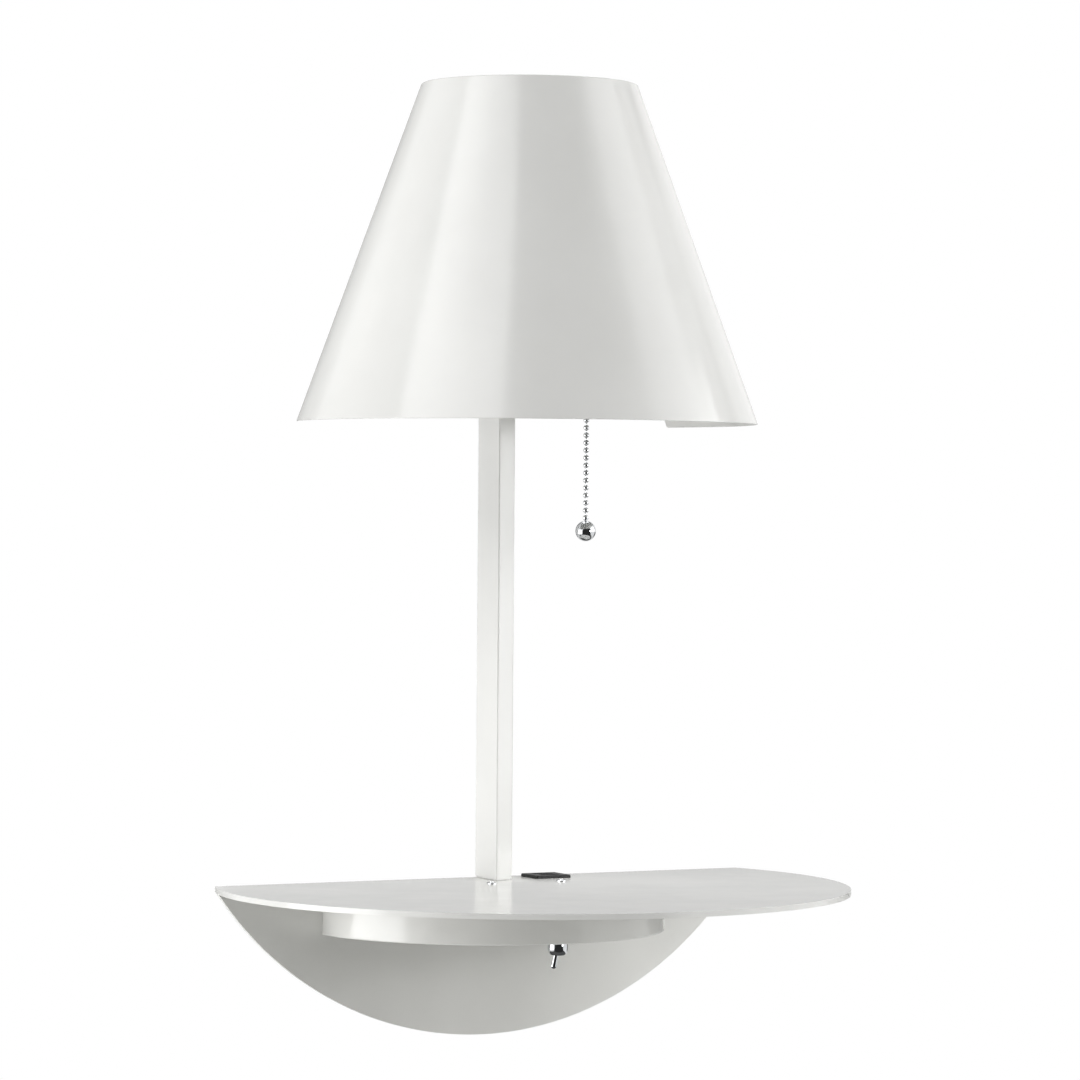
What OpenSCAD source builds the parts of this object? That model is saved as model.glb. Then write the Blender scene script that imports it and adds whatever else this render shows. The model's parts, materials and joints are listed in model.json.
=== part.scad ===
// Wall lamp with a round shelf, a rectangular post and a conical shade cut off
// flat at the wall. Millimetres, +Z up, the wall is the plane Y = 0 and the lamp
// stands out towards -Y. The origin is midway between the two fixing holes, on
// the wall.

/* [Shelf] */
// Radius of the round shelf
shelf_r = 177; // [160:1:195]
// Distance from the wall to the centre of the shelf
shelf_reach = 61; // [50:1:75]
// Thickness of the shelf plate
shelf_t = 3; // [2:0.5:5]

/* [Wall plate] */
// Height of the wall plate below the shelf
plate_drop = 86.5; // [70:0.5:110]
// Thickness of the wall plate
plate_t = 3; // [2:0.5:5]
// Distance between the two fixing holes
fix_spacing = 120; // [112:1:130]
// Diameter of a fixing hole
fix_d = 5; // [4:0.1:6]
// Depth of the fixing holes below the shelf
fix_drop = 14; // [13:0.5:15]
// Diameter of the hole for the supply wires
supply_d = 20; // [14:1:20]
// Sideways distance of the earth screw from the supply hole's middle
earth_x = 30; // [26:1:36]
// Height of the earth screw above the fixing holes
earth_z = 2; // [0:0.5:5]
// Thread diameter of the earth screw
earth_d = 4; // [3:0.1:5]
// Head diameter of the earth screw
earth_head_d = 8; // [6:0.5:9]
// Head height of the earth screw
earth_head_h = 2.4; // [1.6:0.1:3]
// Steel left behind the earth screw's hole
earth_skin = 0.4; // [0.2:0.1:0.8]

/* [Housing under the shelf] */
// Outer radius of the half-round housing
pan_r = 102; // [99:1:112]
// Height of the housing
pan_h = 26; // [26:0.5:32]
// Sheet thickness of the housing
pan_wall = 1.2; // [1:0.1:1.6]
// Outer radius of the housing's lower edge
pan_edge_r = 2.5; // [2:0.1:4]
// Radius of the two threaded pillars inside
pillar_r = 3.5; // [3:0.1:4.5]
// Depth of the thread in a pillar
pillar_thread = 11; // [9:0.5:16]

/* [Brackets under the shelf] */
// Distance of each angle bracket's middle from the lamp's middle
angle_x = 80; // [76:1:84]
// Width of an angle bracket
angle_w = 16; // [12:1:18]
// Length of the leg under the shelf
angle_reach = 30; // [20:1:34]
// Length of the leg on the wall plate
angle_drop = 20; // [12:1:22]
// Sheet thickness of an angle bracket
angle_t = 2; // [1.5:0.1:3]

/* [Shelf screws] */
// Sideways place of the left screw
shelf_screw_left = -17.5; // [-22:0.5:-14]
// Sideways place of the right screw
shelf_screw_right = 26.5; // [22:0.5:32]
// Distance of the shelf screws from the wall
shelf_screw_y = 45; // [40:0.5:50]
// Length of a shelf screw under its head
shelf_screw_len = 12; // [9:0.5:13]

/* [Small screws] */
// Thread diameter of the small screws
screw_d = 3; // [2.5:0.1:3.4]
// Head diameter of the small screws
screw_head_d = 5.6; // [4.6:0.1:6]
// Head height of the small screws
screw_head_h = 1.9; // [1.2:0.1:2.4]
// Height of the straight edge of a screw's head
screw_edge_h = 0.8; // [0.4:0.1:1]

/* [Charging socket] */
// Width of the socket's flange
usb_w = 22; // [20:0.5:26]
// Depth of the socket's flange, front to back
usb_d = 20; // [18:0.5:24]
// Height of the flange on the shelf
usb_flange_t = 1.8; // [1.2:0.1:2.5]
// Corner radius of the flange
usb_corner_r = 2.5; // [1:0.1:4]
// Sideways place of the socket's middle
usb_x = 32; // [31:0.5:40]
// Distance from the wall to the socket's middle
usb_y = 16; // [15:0.5:20]
// Width of the body in the shelf
usb_body_w = 18.5; // [16:0.5:19]
// Depth of the body in the shelf, front to back
usb_body_d = 16.5; // [15.5:0.1:17]
// Height of the body below the flange
usb_body_h = 21; // [19:0.5:22]
// Corner radius of the body
usb_body_corner_r = 1; // [0.5:0.1:2]
// Width of one port
port_w = 12.6; // [12:0.1:13]
// Height of one port
port_h = 5.2; // [4.6:0.1:5.6]
// Distance between the two ports' middles
port_pitch = 8; // [7.4:0.1:8.4]
// Depth of a port below the flange's top
port_depth = 13; // [10:0.5:15]
// Thickness of a port's metal shell
port_shell_t = 0.3; // [0.2:0.05:0.5]
// Thickness of a port's contact tongue
tongue_t = 1.9; // [1.6:0.1:2.2]
// Gap between a tongue and each side of its port
tongue_side_gap = 0.7; // [0.5:0.1:1]
// Gap between a tongue and the port's long wall
tongue_low_gap = 0.6; // [0.4:0.1:0.9]
// Depth of a tongue's end below the flange's top
tongue_set_back = 3; // [2.9:0.1:4]

/* [Toggle switch] */
// Distance from the wall to the toggle
toggle_y = 91; // [84:0.5:93]
// Length of the switch body, side to side
toggle_w = 13.2; // [10:0.1:15]
// Depth of the switch body, front to back
toggle_d = 7.9; // [7:0.1:9]
// Height of the switch body
toggle_h = 9.6; // [8:0.1:11]
// Distance of the outer terminal lugs from the body's ends
lug_edge = 1.1; // [0.8:0.1:1.6]
// Width of a terminal lug
lug_w = 2; // [1.6:0.1:2.4]
// Thickness of a terminal lug
lug_t = 0.8; // [0.5:0.1:1]
// Length of a terminal lug
lug_h = 4; // [3:0.1:5]
// Diameter of the hole in a terminal lug
lug_hole_d = 1; // [0.8:0.1:1.2]
// Diameter of the threaded bushing
bushing_d = 6.3; // [6:0.1:7]
// Length of the bushing below the housing
bushing_out = 5; // [4:0.1:6]
// Bore of the bushing round the lever
bushing_bore = 4.2; // [4:0.1:4.6]
// Largest diameter of the domed nut
dome_nut_d = 11.2; // [9:0.1:13]
// Height of the domed nut
dome_nut_h = 7.3; // [6.6:0.1:9]
// Diameter of the domed nut's mouth round the lever
nut_mouth_d = 5.8; // [5.6:0.1:6.2]
// Width of the flat round the domed nut's mouth
nut_rim_w = 0.3; // [0.2:0.1:0.8]
// Depth of the lever's pivot below the housing
pivot_drop = 2; // [1.8:0.1:2.6]
// Length of the lever from its pivot to its tip
lever_len = 13; // [11:0.5:16]
// Diameter of the lever near its tip
lever_tip_d = 2.9; // [2.2:0.1:3.2]
// Diameter of the lever's neck
lever_neck_d = 1.9; // [1.5:0.1:2.2]
// Length of the lever's tail inside the switch
lever_tail_h = 2.5; // [1.5:0.1:2.8]
// Diameter of the lever's tail
lever_tail_d = 1.6; // [1.2:0.1:1.8]
// Whole throw of the lever in degrees
lever_throw = 25; // [20:1:27]

/* [Terminal block] */
// Number of poles
block_poles = 3; // [2:1:4]
// Width of one pole
block_pole_w = 9; // [8:0.5:10]
// Length of the block, front to back
block_l = 17; // [14:0.5:18]
// Height of the block
block_h = 13; // [11:0.5:15]
// Distance from the wall to the block's back
block_y = 55; // [54:0.5:58]
// Height of the wires' middle above the block's underside
block_wire_h = 5.5; // [5:0.1:6]
// Depth of a wire's entry into the block
block_entry = 4.8; // [4:0.1:6]
// Diameter of a screw well in the block
block_well_d = 4.3; // [3.6:0.1:4.8]
// Depth of a screw well
block_well_h = 4; // [3:0.1:5]
// Distance between the two screw wells of a pole
block_well_pitch = 9.2; // [8:0.1:9.6]
// Width of the grooves between the poles
block_groove = 0.8; // [0.6:0.1:1.2]

/* [Post] */
// Width of the post
post_w = 10.6; // [9.5:0.1:13]
// Depth of the post, front to back
post_d = 26; // [24:0.5:30]
// Height of the post above the shelf
post_h = 304; // [301:1:330]
// Wall of the post
post_wall = 1.2; // [0.8:0.1:1.4]
// Corner radius of the post
post_corner_r = 1; // [0.6:0.1:1.2]
// Height of the block in the post's foot
foot_h = 14; // [10:0.5:20]
// Gap between the wall plate and the rear foot screw's head
foot_screw_gap = 0.4; // [0.2:0.1:0.8]
// Length of a foot screw under its head
foot_screw_len = 13; // [10:0.5:15]
// Height of the plug in the post's top
cap_plug_h = 6; // [4:0.5:10]
// Thickness of the cap on the post
cap_t = 1.5; // [1:0.1:3]

/* [Lamp bracket] */
// Height of the bracket's upper face above the shelf
bracket_h = 296; // [295:0.5:299]
// Sheet thickness of the bracket
bracket_t = 2; // [1.5:0.1:3]
// Radius of the bracket round the lampholder
bracket_r = 15; // [12:0.5:18]
// Radius of the bracket round the pull switch
bracket_ear_r = 9; // [8:0.5:11]
// Inner radius of the bend between the bracket and its tab
bracket_bend = 1.5; // [1:0.1:2.5]
// Length of the tab on the post
bracket_tab = 34; // [30:0.5:36]
// Height of the lower screw above the tab's end
tab_screw_low = 5; // [4:0.1:6]
// Distance between the two tab screws
tab_screw_pitch = 21.5; // [20:0.5:23]
// Length of a tab screw under its head
tab_screw_len = 8; // [5:0.5:9]

/* [Shade] */
// Outer radius of the shade's lower rim
shade_low_r = 129; // [115:1:140]
// Outer radius of the shade's upper rim
shade_top_r = 60.5; // [56:0.5:75]
// Height of the shade
shade_h = 189; // [170:1:210]
// Height of the shade's lower rim above the shelf
shade_lift = 257.5; // [250:0.5:260]
// Distance from the wall to the shade's axis
shade_axis = 50; // [49:0.5:54]
// Sheet thickness of the shade
shade_wall = 1.2; // [0.8:0.1:2]
// Gap between the wall and the shade's cut edges
shade_wall_gap = 0.5; // [0:0.1:3]

/* [Shade fitter] */
// Sheet thickness of the fitter
fitter_t = 1.5; // [1:0.1:2]
// Outer radius of the fitter's ring
fitter_ring_r = 25; // [23:0.5:28]
// Width of each arm
fitter_arm_w = 10; // [7:0.5:14]
// Height of the tab at an arm's end
fitter_tab_h = 14; // [8:0.5:20]
// Radius of the clamping ring
ring_r = 25; // [23:0.5:27]
// Height of the clamping ring
ring_h = 5.5; // [4:0.5:8]
// Number of finger notches in the clamping ring
ring_notches = 12; // [8:1:16]
// Radius of a finger notch
ring_notch_r = 1.6; // [1:0.1:2]

/* [Lampholder] */
// Radius of the holder's shoulder
holder_r = 22; // [21:0.5:22.5]
// Height of the holder's cup
holder_cup_h = 16; // [14:0.5:20]
// Height of the shoulder above the cup
holder_shoulder_h = 10; // [8:0.5:14]
// Radius of the holder's threaded sleeve
holder_sleeve_r = 19; // [18:0.1:20]
// Height of the threaded sleeve above the shoulder
holder_sleeve_h = 26; // [22:0.5:30]
// Wall of the holder's cup
holder_wall = 2; // [1.5:0.1:3]
// Radius of the cup's foot on the bracket
holder_foot_r = 12; // [11.6:0.1:14]
// Height of the cup's rounded part
holder_round_h = 12; // [9:0.5:13.5]
// Bore of the holder round the lamp cap's shell
holder_bore_r = 15; // [14.8:0.1:16]
// Thickness of the floor under the lamp cap
holder_floor = 3; // [2:0.5:4]
// Wall of the screw shell
shell_wall = 0.8; // [0.4:0.1:1]
// Height of the screw shell
shell_h = 22; // [16:0.5:25]
// Width of the square contact under the lamp's tip
contact_w = 7; // [5:0.5:9]
// Thickness of the contact
contact_t = 1.2; // [0.8:0.1:2]
// Outer diameter of the threaded tube
nipple_d = 9.7; // [9:0.1:10.4]
// Bore of the threaded tube
nipple_bore = 7.2; // [6.6:0.1:7.4]
// Length of the threaded tube below the bracket
nipple_drop = 6; // [5:0.5:7]
// Length of the threaded tube above the bracket
nipple_rise = 9; // [7:0.5:11]
// Width across the flats of the tube's nuts
nut_flats = 14; // [12:0.5:15]
// Thickness of the tube's nuts
nut_t = 3; // [2:0.5:4]

/* [Lamp] */
// Largest radius of the lamp
bulb_r = 30; // [26:0.5:31]
// Length of the lamp
bulb_len = 108; // [100:1:114]
// Radius of the screw cap
bulb_cap_r = 13.2; // [12.8:0.1:13.4]
// Height of the screw cap
bulb_cap_h = 25; // [22:0.5:27]
// Height of the housing above the screw cap
bulb_collar_h = 36; // [30:1:40]
// Height of the lamp's neck that shows above the lampholder
bulb_neck_h = 2; // [1:0.5:4]
// Wall of the neck over the screw cap
bulb_neck_wall = 0.8; // [0.4:0.1:1.2]
// Height of the lamp's contact tip
tip_h = 1.5; // [1:0.1:2]
// Radius of the contact tip
tip_r = 4; // [3:0.5:5]
// Height of the glass insulator round the tip
insulator_h = 4; // [3:0.5:5]
// Step from the insulator to the screw cap
insulator_step = 2; // [1:0.5:3]
// Wall of the light cover
bulb_wall = 1.6; // [1:0.1:2.5]
// Radius of the light board
board_r = 21; // [16:0.5:23]
// Thickness of the light board
board_t = 1.6; // [1:0.1:2]

/* [Pull switch] */
// Sideways distance of the pull switch from the shade's axis
pull_x = 37.7; // [36:0.1:44]
// Radius of the pull switch
pull_r = 10.5; // [9:0.1:11]
// Height of the pull switch above the bracket
pull_h = 19; // [17:0.5:22]
// Wall of the pull switch
pull_wall = 2; // [1.5:0.1:2.5]
// Outer diameter of the switch's threaded barrel
barrel_d = 9.4; // [8.6:0.1:10]
// Length of the barrel below the bracket
barrel_drop = 15; // [13:0.5:17]
// Bore of the barrel
barrel_bore = 4.4; // [4.2:0.1:5]
// Diameter of the barrel's flared mouth
barrel_mouth = 7; // [6:0.1:8]
// Depth of the flare
barrel_flare_h = 2; // [1:0.5:4]
// Width across the flats of the barrel's nut
barrel_nut_flats = 13; // [12:0.5:14]
// Travel of the pull chain
pull_travel = 8; // [6:0.5:8]
// Radius of the plunger's head
plunger_head_r = 5.5; // [4.5:0.1:6.5]
// Thickness of the plunger's head
plunger_head_t = 2; // [1.5:0.1:3]
// Length of the plunger below its head
plunger_len = 18; // [16:0.5:18.5]
// Room above the plunger's head at rest
plunger_room = 2; // [1.5:0.1:2.5]

/* [Pull chain] */
// Diameter of a bead
bead_d = 3.2; // [2.6:0.1:3.4]
// Distance between two beads' middles
bead_pitch = 4.233; // [4:0.001:4.6]
// Number of beads below the top one
bead_count = 17; // [12:1:22]
// Diameter of the wire between two beads
bead_wire_d = 1; // [0.7:0.1:1.3]
// Diameter of the ball at the end
ball_d = 11.5; // [9:0.1:16]
// Depth of the wire inside the ball
ball_wire_depth = 4; // [2:0.5:5]

/* [Cable] */
// Diameter of the cable in the post
cable_d = 5; // [4:0.1:5.4]
// Bend radius of the cable
cable_bend = 8; // [7:0.5:9]
// Height of the cable's way out above the tab's end
cable_exit_up = 16; // [15:0.5:17]
// Length of the cable inside the terminal block
cable_in_block = 2; // [1:0.5:4]

/* [Clearances] */
// Radial gap round a screw or a tube in its hole
hole_gap = 0.2; // [0.1:0.05:0.4]
// Radial gap between a thread and the thread it turns in
thread_gap = 0.05; // [0.02:0.01:0.1]
// Gap between two pieces that slip into each other
slip_gap = 0.1; // [0.05:0.05:0.2]
// Gap between a curved piece and the piece it is joined to
seat_gap = 0.15; // [0.1:0.05:0.3]
// Gap of the top bead from the mouth and of each moving link
link_gap = 0.05; // [0.03:0.01:0.1]
// Gap between the pull chain's top bead and the barrel's mouth
mouth_gap = 0.6; // [0.4:0.1:1]

/* [Hidden] */
$fn = 72;
disc_fn = 180;
// Overlap of a small cut, and overrun of a cutting block
cut = 0.01;
over = 1;

// Levels, from the fixing holes up
shelf_under_z = fix_drop;
shelf_top_z = shelf_under_z + shelf_t;
pan_under_z = shelf_under_z - pan_h;
pan_floor_z = pan_under_z + pan_wall;
bracket_top_z = shelf_top_z + bracket_h;
bracket_under_z = bracket_top_z - bracket_t;
tab_low_z = bracket_top_z - bracket_tab;
cable_exit_z = tab_low_z + cable_exit_up;
shade_low_z = shelf_top_z + shade_lift;
usb_top_z = shelf_top_z + usb_flange_t;
port_low_z = usb_top_z - port_depth;
toggle_pivot_z = pan_under_z - pivot_drop;
block_low_z = shelf_under_z - block_h;

// The shelf's straight back edge is also the wall plate's upper edge
half_chord = sqrt(shelf_r * shelf_r - shelf_reach * shelf_reach);
plate_r = (half_chord * half_chord + plate_drop * plate_drop) / (2 * plate_drop);

// The post's middle, front to back, and its inside
post_mid_y = -post_d / 2;
post_in_w = post_w - 2 * post_wall;
post_in_d = post_d - 2 * post_wall;
foot_screw_pitch = post_d - 2 * (plate_t + foot_screw_gap + screw_head_d / 2);

// The cable's middle in the post and in the lampholder, and its lower run
cable_y = post_mid_y;
cable_out_y = -shade_axis;
cable_low_z = block_low_z + block_wire_h;
cable_r = cable_d / 2;
cable_hole_r = cable_r + hole_gap;

screw_r = screw_d / 2;
screw_hole_r = screw_r + hole_gap;
screw_thread_r = screw_r + thread_gap;

// Lampholder levels
cup_top_z = bracket_top_z + holder_cup_h;
shoulder_z = cup_top_z + holder_shoulder_h;
sleeve_top_z = shoulder_z + holder_sleeve_h;
holder_floor_z = cup_top_z + holder_floor;
bulb_low_z = holder_floor_z + contact_t + seat_gap;

// Lamp levels above the tip of its cap
cap_low = tip_h + insulator_h;
neck_top = sleeve_top_z - bulb_low_z + bulb_neck_h;
collar_top = bulb_cap_h + bulb_collar_h;
dome_mid = bulb_len - bulb_r;
collar_r = sqrt(bulb_r * bulb_r - (dome_mid - collar_top) * (dome_mid - collar_top));
neck_r = bulb_cap_r + bulb_neck_wall;

// The shade's slope, and its inner radius at a height above the lower rim
shade_slope = atan((shade_low_r - shade_top_r) / shade_h);
shade_inset = shade_wall / cos(shade_slope);
fitter_up = shoulder_z - shade_low_z;
function shade_in_r(up) = shade_low_r - (shade_low_r - shade_top_r) * up / shade_h - shade_inset;

// Pull switch levels
mouth_z = bracket_under_z - barrel_drop;
top_bead_z = mouth_z - mouth_gap - bead_d / 2;
plunger_top_z = bracket_top_z + pull_h - pull_wall - plunger_room;
plunger_head_z = plunger_top_z - plunger_head_t;
plunger_low_z = plunger_head_z - plunger_len;
bead_r = bead_d / 2;
last_bead_z = top_bead_z - bead_count * bead_pitch;
ball_r = ball_d / 2;
ball_z = last_bead_z - bead_r - link_gap - ball_r;

powder_white = [0.93, 0.93, 0.91];
bright_chrome = [0.80, 0.81, 0.82];
zinc = [0.70, 0.71, 0.72];
brass = [0.78, 0.62, 0.30];
black_plastic = [0.07, 0.07, 0.07];
white_plastic = [0.90, 0.90, 0.88];

// A cylinder along Y, from y_back towards the room
module rod_y(r, y_back, len, fn = $fn) {
  translate([0, y_back, 0]) rotate([90, 0, 0]) cylinder(r = r, h = len, $fn = fn);
}

// A ring-shaped or solid body of height h
module tube(r_out, r_in, h) {
  difference() {
    cylinder(r = r_out, h = h);
    translate([0, 0, -cut]) cylinder(r = r_in, h = h + 2 * cut);
  }
}

// A block with round upright edges, centred on Z, its lower face at z = 0
module round_block(w, d, h, r) {
  cube_w = w - 2 * r;
  cube_d = d - 2 * r;
  union() {
    translate([-w / 2, -cube_d / 2, 0]) cube([w, cube_d, h]);
    translate([-cube_w / 2, -d / 2, 0]) cube([cube_w, d, h]);
    for (x = [-1, 1], y = [-1, 1]) {
      translate([x * cube_w / 2, y * cube_d / 2, 0]) cylinder(r = r, h = h, $fn = 32);
    }
  }
}

// A pan-head screw that points down, its head's underside at z = 0
module screw(len, r = screw_r, head_r = screw_head_d / 2, head_h = screw_head_h) {
  dome = [for (a = [0:15:90]) [head_r * cos(a), screw_edge_h + (head_h - screw_edge_h) * sin(a)]];
  union() {
    translate([0, 0, -len]) cylinder(r = r, h = len + cut);
    rotate_extrude() polygon(concat([[0, 0], [head_r, 0]], dome));
  }
}

// A hexagonal nut, its lower face at z = 0
module nut(flats, bore_r, t) {
  difference() {
    cylinder(r = flats / sqrt(3), h = t, $fn = 6);
    translate([0, 0, -cut]) cylinder(r = bore_r, h = t + 2 * cut);
  }
}

// A quarter bend of a round bar, from +Y at the start to +Z at the end,
// with the bend's middle at the origin
module quarter_bend(bend, r) {
  intersection() {
    rotate([0, 90, 0]) rotate_extrude() translate([bend, 0]) circle(r = r, $fn = 32);
    translate([-2 * r, 0, -2 * bend]) cube([4 * r, 2 * bend, 2 * bend]);
  }
}

module wall_plate() {
  color(powder_white) difference() {
    intersection() {
      translate([0, 0, shelf_under_z - plate_drop + plate_r]) rod_y(plate_r, 0, plate_t, disc_fn);
      translate([-half_chord, -plate_t, shelf_under_z - plate_drop])
        cube([2 * half_chord, plate_t, plate_drop]);
    }
    for (x = [-1, 1]) translate([x * fix_spacing / 2, 0, 0]) rod_y(fix_d / 2, cut, plate_t + 2 * cut);
    rod_y(supply_d / 2, cut, plate_t + 2 * cut);
    translate([-earth_x, 0, earth_z]) rod_y(earth_d / 2 + thread_gap, cut - earth_skin, plate_t + cut);
  }
}

module shelf_plate() {
  color(powder_white) difference() {
    intersection() {
      translate([0, -shelf_reach, shelf_under_z]) cylinder(r = shelf_r, h = shelf_t, $fn = disc_fn);
      translate([-shelf_r, -shelf_reach - shelf_r, shelf_under_z])
        cube([2 * shelf_r, shelf_reach + shelf_r, shelf_t]);
    }
    translate([usb_x, -usb_y, shelf_under_z - cut])
      round_block(usb_body_w + 2 * slip_gap, usb_body_d + 2 * slip_gap, shelf_t + 2 * cut, usb_body_corner_r);
    shelf_screw_places() translate([0, 0, shelf_under_z - cut])
      cylinder(r = screw_hole_r, h = shelf_t + 2 * cut);
    foot_screw_places() translate([0, 0, shelf_under_z - cut])
      cylinder(r = screw_hole_r, h = shelf_t + 2 * cut);
    translate([0, cable_y, shelf_under_z - cut]) cylinder(r = cable_hole_r, h = shelf_t + 2 * cut);
  }
}

module shelf_screw_places() {
  for (x = [shelf_screw_left, shelf_screw_right]) translate([x, -shelf_screw_y, 0]) children();
}

module foot_screw_places() {
  for (y = [-1, 1]) translate([0, post_mid_y + y * foot_screw_pitch / 2, 0]) children();
}

module shelf_angles() {
  color(zinc) for (x = [-1, 1]) translate([x * angle_x - angle_w / 2, -plate_t, shelf_under_z]) {
    union() {
      translate([0, -angle_reach, -angle_t]) cube([angle_w, angle_reach, angle_t]);
      translate([0, -angle_t, -angle_drop]) cube([angle_w, angle_t, angle_drop]);
    }
  }
}

// The housing's section, turned round its middle: floor, round edge and wall
module pan_section() {
  union() {
    square([pan_r - pan_edge_r, pan_wall]);
    translate([pan_r - pan_wall, pan_edge_r]) square([pan_wall, pan_h - pan_edge_r]);
    intersection() {
      translate([pan_r - pan_edge_r, 0]) square([pan_edge_r, pan_edge_r]);
      translate([pan_r - pan_edge_r, pan_edge_r]) difference() {
        circle(r = pan_edge_r, $fn = 48);
        circle(r = pan_edge_r - pan_wall, $fn = 48);
      }
    }
  }
}

module housing_pan() {
  color(powder_white) difference() {
    translate([0, -plate_t, pan_under_z]) rotate_extrude($fn = disc_fn) pan_section();
    translate([-2 * pan_r, -plate_t, pan_under_z - over]) cube([4 * pan_r, 2 * pan_r, pan_h + 2 * over]);
    translate([0, -toggle_y, pan_under_z - cut])
      cylinder(r = bushing_d / 2 + hole_gap, h = pan_wall + 2 * cut);
  }
}

module pan_pillars() {
  color(zinc) shelf_screw_places() difference() {
    translate([0, 0, pan_floor_z]) cylinder(r = pillar_r, h = shelf_under_z - pan_floor_z);
    translate([0, 0, shelf_under_z - pillar_thread])
      cylinder(r = screw_thread_r, h = pillar_thread + cut);
  }
}

module shelf_screws() {
  color(bright_chrome) shelf_screw_places() translate([0, 0, shelf_top_z]) screw(shelf_screw_len);
}

module port_places() {
  for (y = [-1, 1]) translate([usb_x, -usb_y + y * port_pitch / 2, 0]) children();
}

module port_hole(grow, low, high) {
  translate([-port_w / 2 - grow, -port_h / 2 - grow, low])
    cube([port_w + 2 * grow, port_h + 2 * grow, high - low]);
}

module usb_flange() {
  color(black_plastic) difference() {
    translate([usb_x, -usb_y, shelf_top_z]) round_block(usb_w, usb_d, usb_flange_t, usb_corner_r);
    port_places() port_hole(0, shelf_top_z - cut, usb_top_z + cut);
  }
}

module usb_body() {
  color(black_plastic) difference() {
    translate([usb_x, -usb_y, shelf_top_z - usb_body_h])
      round_block(usb_body_w, usb_body_d, usb_body_h, usb_body_corner_r);
    port_places() port_hole(port_shell_t + slip_gap, port_low_z, shelf_top_z + cut);
  }
}

module usb_shells() {
  color(zinc) port_places() difference() {
    port_hole(port_shell_t, port_low_z, shelf_top_z);
    port_hole(0, port_low_z - cut, shelf_top_z + cut);
  }
}

module usb_tongues() {
  tongue_w = port_w - 2 * tongue_side_gap;
  color(white_plastic) port_places()
    translate([-tongue_w / 2, -port_h / 2 + tongue_low_gap, port_low_z])
      cube([tongue_w, tongue_t, port_depth - tongue_set_back]);
}

module toggle_body() {
  color([0.10, 0.16, 0.38]) translate([-toggle_w / 2, -toggle_y - toggle_d / 2, pan_floor_z])
    cube([toggle_w, toggle_d, toggle_h]);
}

module toggle_terminals() {
  lug_pitch = (toggle_w - lug_w) / 2 - lug_edge;
  color(brass) for (x = [-1, 0, 1])
    translate([x * lug_pitch - lug_w / 2, -toggle_y - lug_t / 2, pan_floor_z + toggle_h]) difference() {
      cube([lug_w, lug_t, lug_h]);
      translate([lug_w / 2, lug_t + cut, lug_h - lug_w / 2]) rod_y(lug_hole_d / 2, 0, lug_t + 2 * cut, 24);
    }
}

module toggle_bushing() {
  color(zinc) translate([0, -toggle_y, pan_under_z - bushing_out])
    tube(bushing_d / 2, bushing_bore / 2, bushing_out + pan_wall);
}

module toggle_nut() {
  nut_r = dome_nut_d / 2;
  mouth_r = nut_mouth_d / 2;
  thread_r = bushing_d / 2 + thread_gap;
  bore_h = bushing_out + slip_gap;
  round_r = nut_r - mouth_r - nut_rim_w;
  color(bright_chrome) translate([0, -toggle_y, pan_under_z - dome_nut_h]) difference() {
    rotate_extrude() union() {
      square([nut_r - round_r, dome_nut_h]);
      translate([0, round_r]) square([nut_r, dome_nut_h - round_r]);
      translate([nut_r - round_r, round_r]) circle(r = round_r, $fn = 48);
    }
    translate([0, 0, dome_nut_h - bore_h]) cylinder(r = thread_r, h = bore_h + cut);
    translate([0, 0, -cut]) cylinder(r = mouth_r, h = dome_nut_h);
  }
}

module toggle_lever() {
  thin_r = lever_neck_d / 2;
  end_r = lever_tip_d / 2;
  color(bright_chrome) translate([0, -toggle_y, toggle_pivot_z]) rotate([0, lever_throw / 2, 0]) union() {
    sphere(r = bushing_bore / 2 - seat_gap);
    cylinder(r = lever_tail_d / 2, h = lever_tail_h);
    translate([0, 0, -lever_len + end_r]) cylinder(r1 = end_r, r2 = thin_r, h = lever_len - end_r);
    translate([0, 0, -lever_len + end_r]) sphere(r = end_r);
  }
}

module terminal_block() {
  block_w = block_poles * block_pole_w;
  color(white_plastic) translate([-block_w / 2, -block_y, block_low_z]) difference() {
    translate([0, -block_l, 0]) cube([block_w, block_l, block_h]);
    for (i = [0:block_poles - 1]) translate([(i + 0.5) * block_pole_w, 0, 0]) {
      for (y = [-1, 1]) translate([0, (-block_l + y * block_well_pitch) / 2, -cut])
        cylinder(r = block_well_d / 2, h = block_well_h, $fn = 32);
      translate([0, 0, block_wire_h]) rod_y(cable_hole_r, cut, block_entry + cut, 32);
    }
    for (i = [1:block_poles - 1])
      translate([i * block_pole_w - block_groove / 2, -block_l - cut, -cut])
        cube([block_groove, block_l + 2 * cut, block_well_h]);
  }
}

module earth_screw() {
  color([0.25, 0.50, 0.25]) translate([-earth_x, -plate_t, earth_z]) rotate([90, 0, 0])
    screw(plate_t - 2 * earth_skin, earth_d / 2, earth_head_d / 2, earth_head_h);
}

module post() {
  color(powder_white) difference() {
    translate([0, post_mid_y, shelf_top_z]) round_block(post_w, post_d, post_h, post_corner_r);
    translate([-post_in_w / 2, post_mid_y - post_in_d / 2, shelf_top_z - cut])
      cube([post_in_w, post_in_d, post_h + 2 * cut]);
    tab_screw_places() rod_y(screw_thread_r, -post_d + post_wall + cut, post_wall + 2 * cut);
    translate([0, 0, cable_exit_z]) rod_y(cable_hole_r, -post_d + post_wall + cut, post_wall + 2 * cut);
  }
}

module tab_screw_places() {
  for (z = [0, tab_screw_pitch]) translate([0, 0, tab_low_z + tab_screw_low + z]) children();
}

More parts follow.
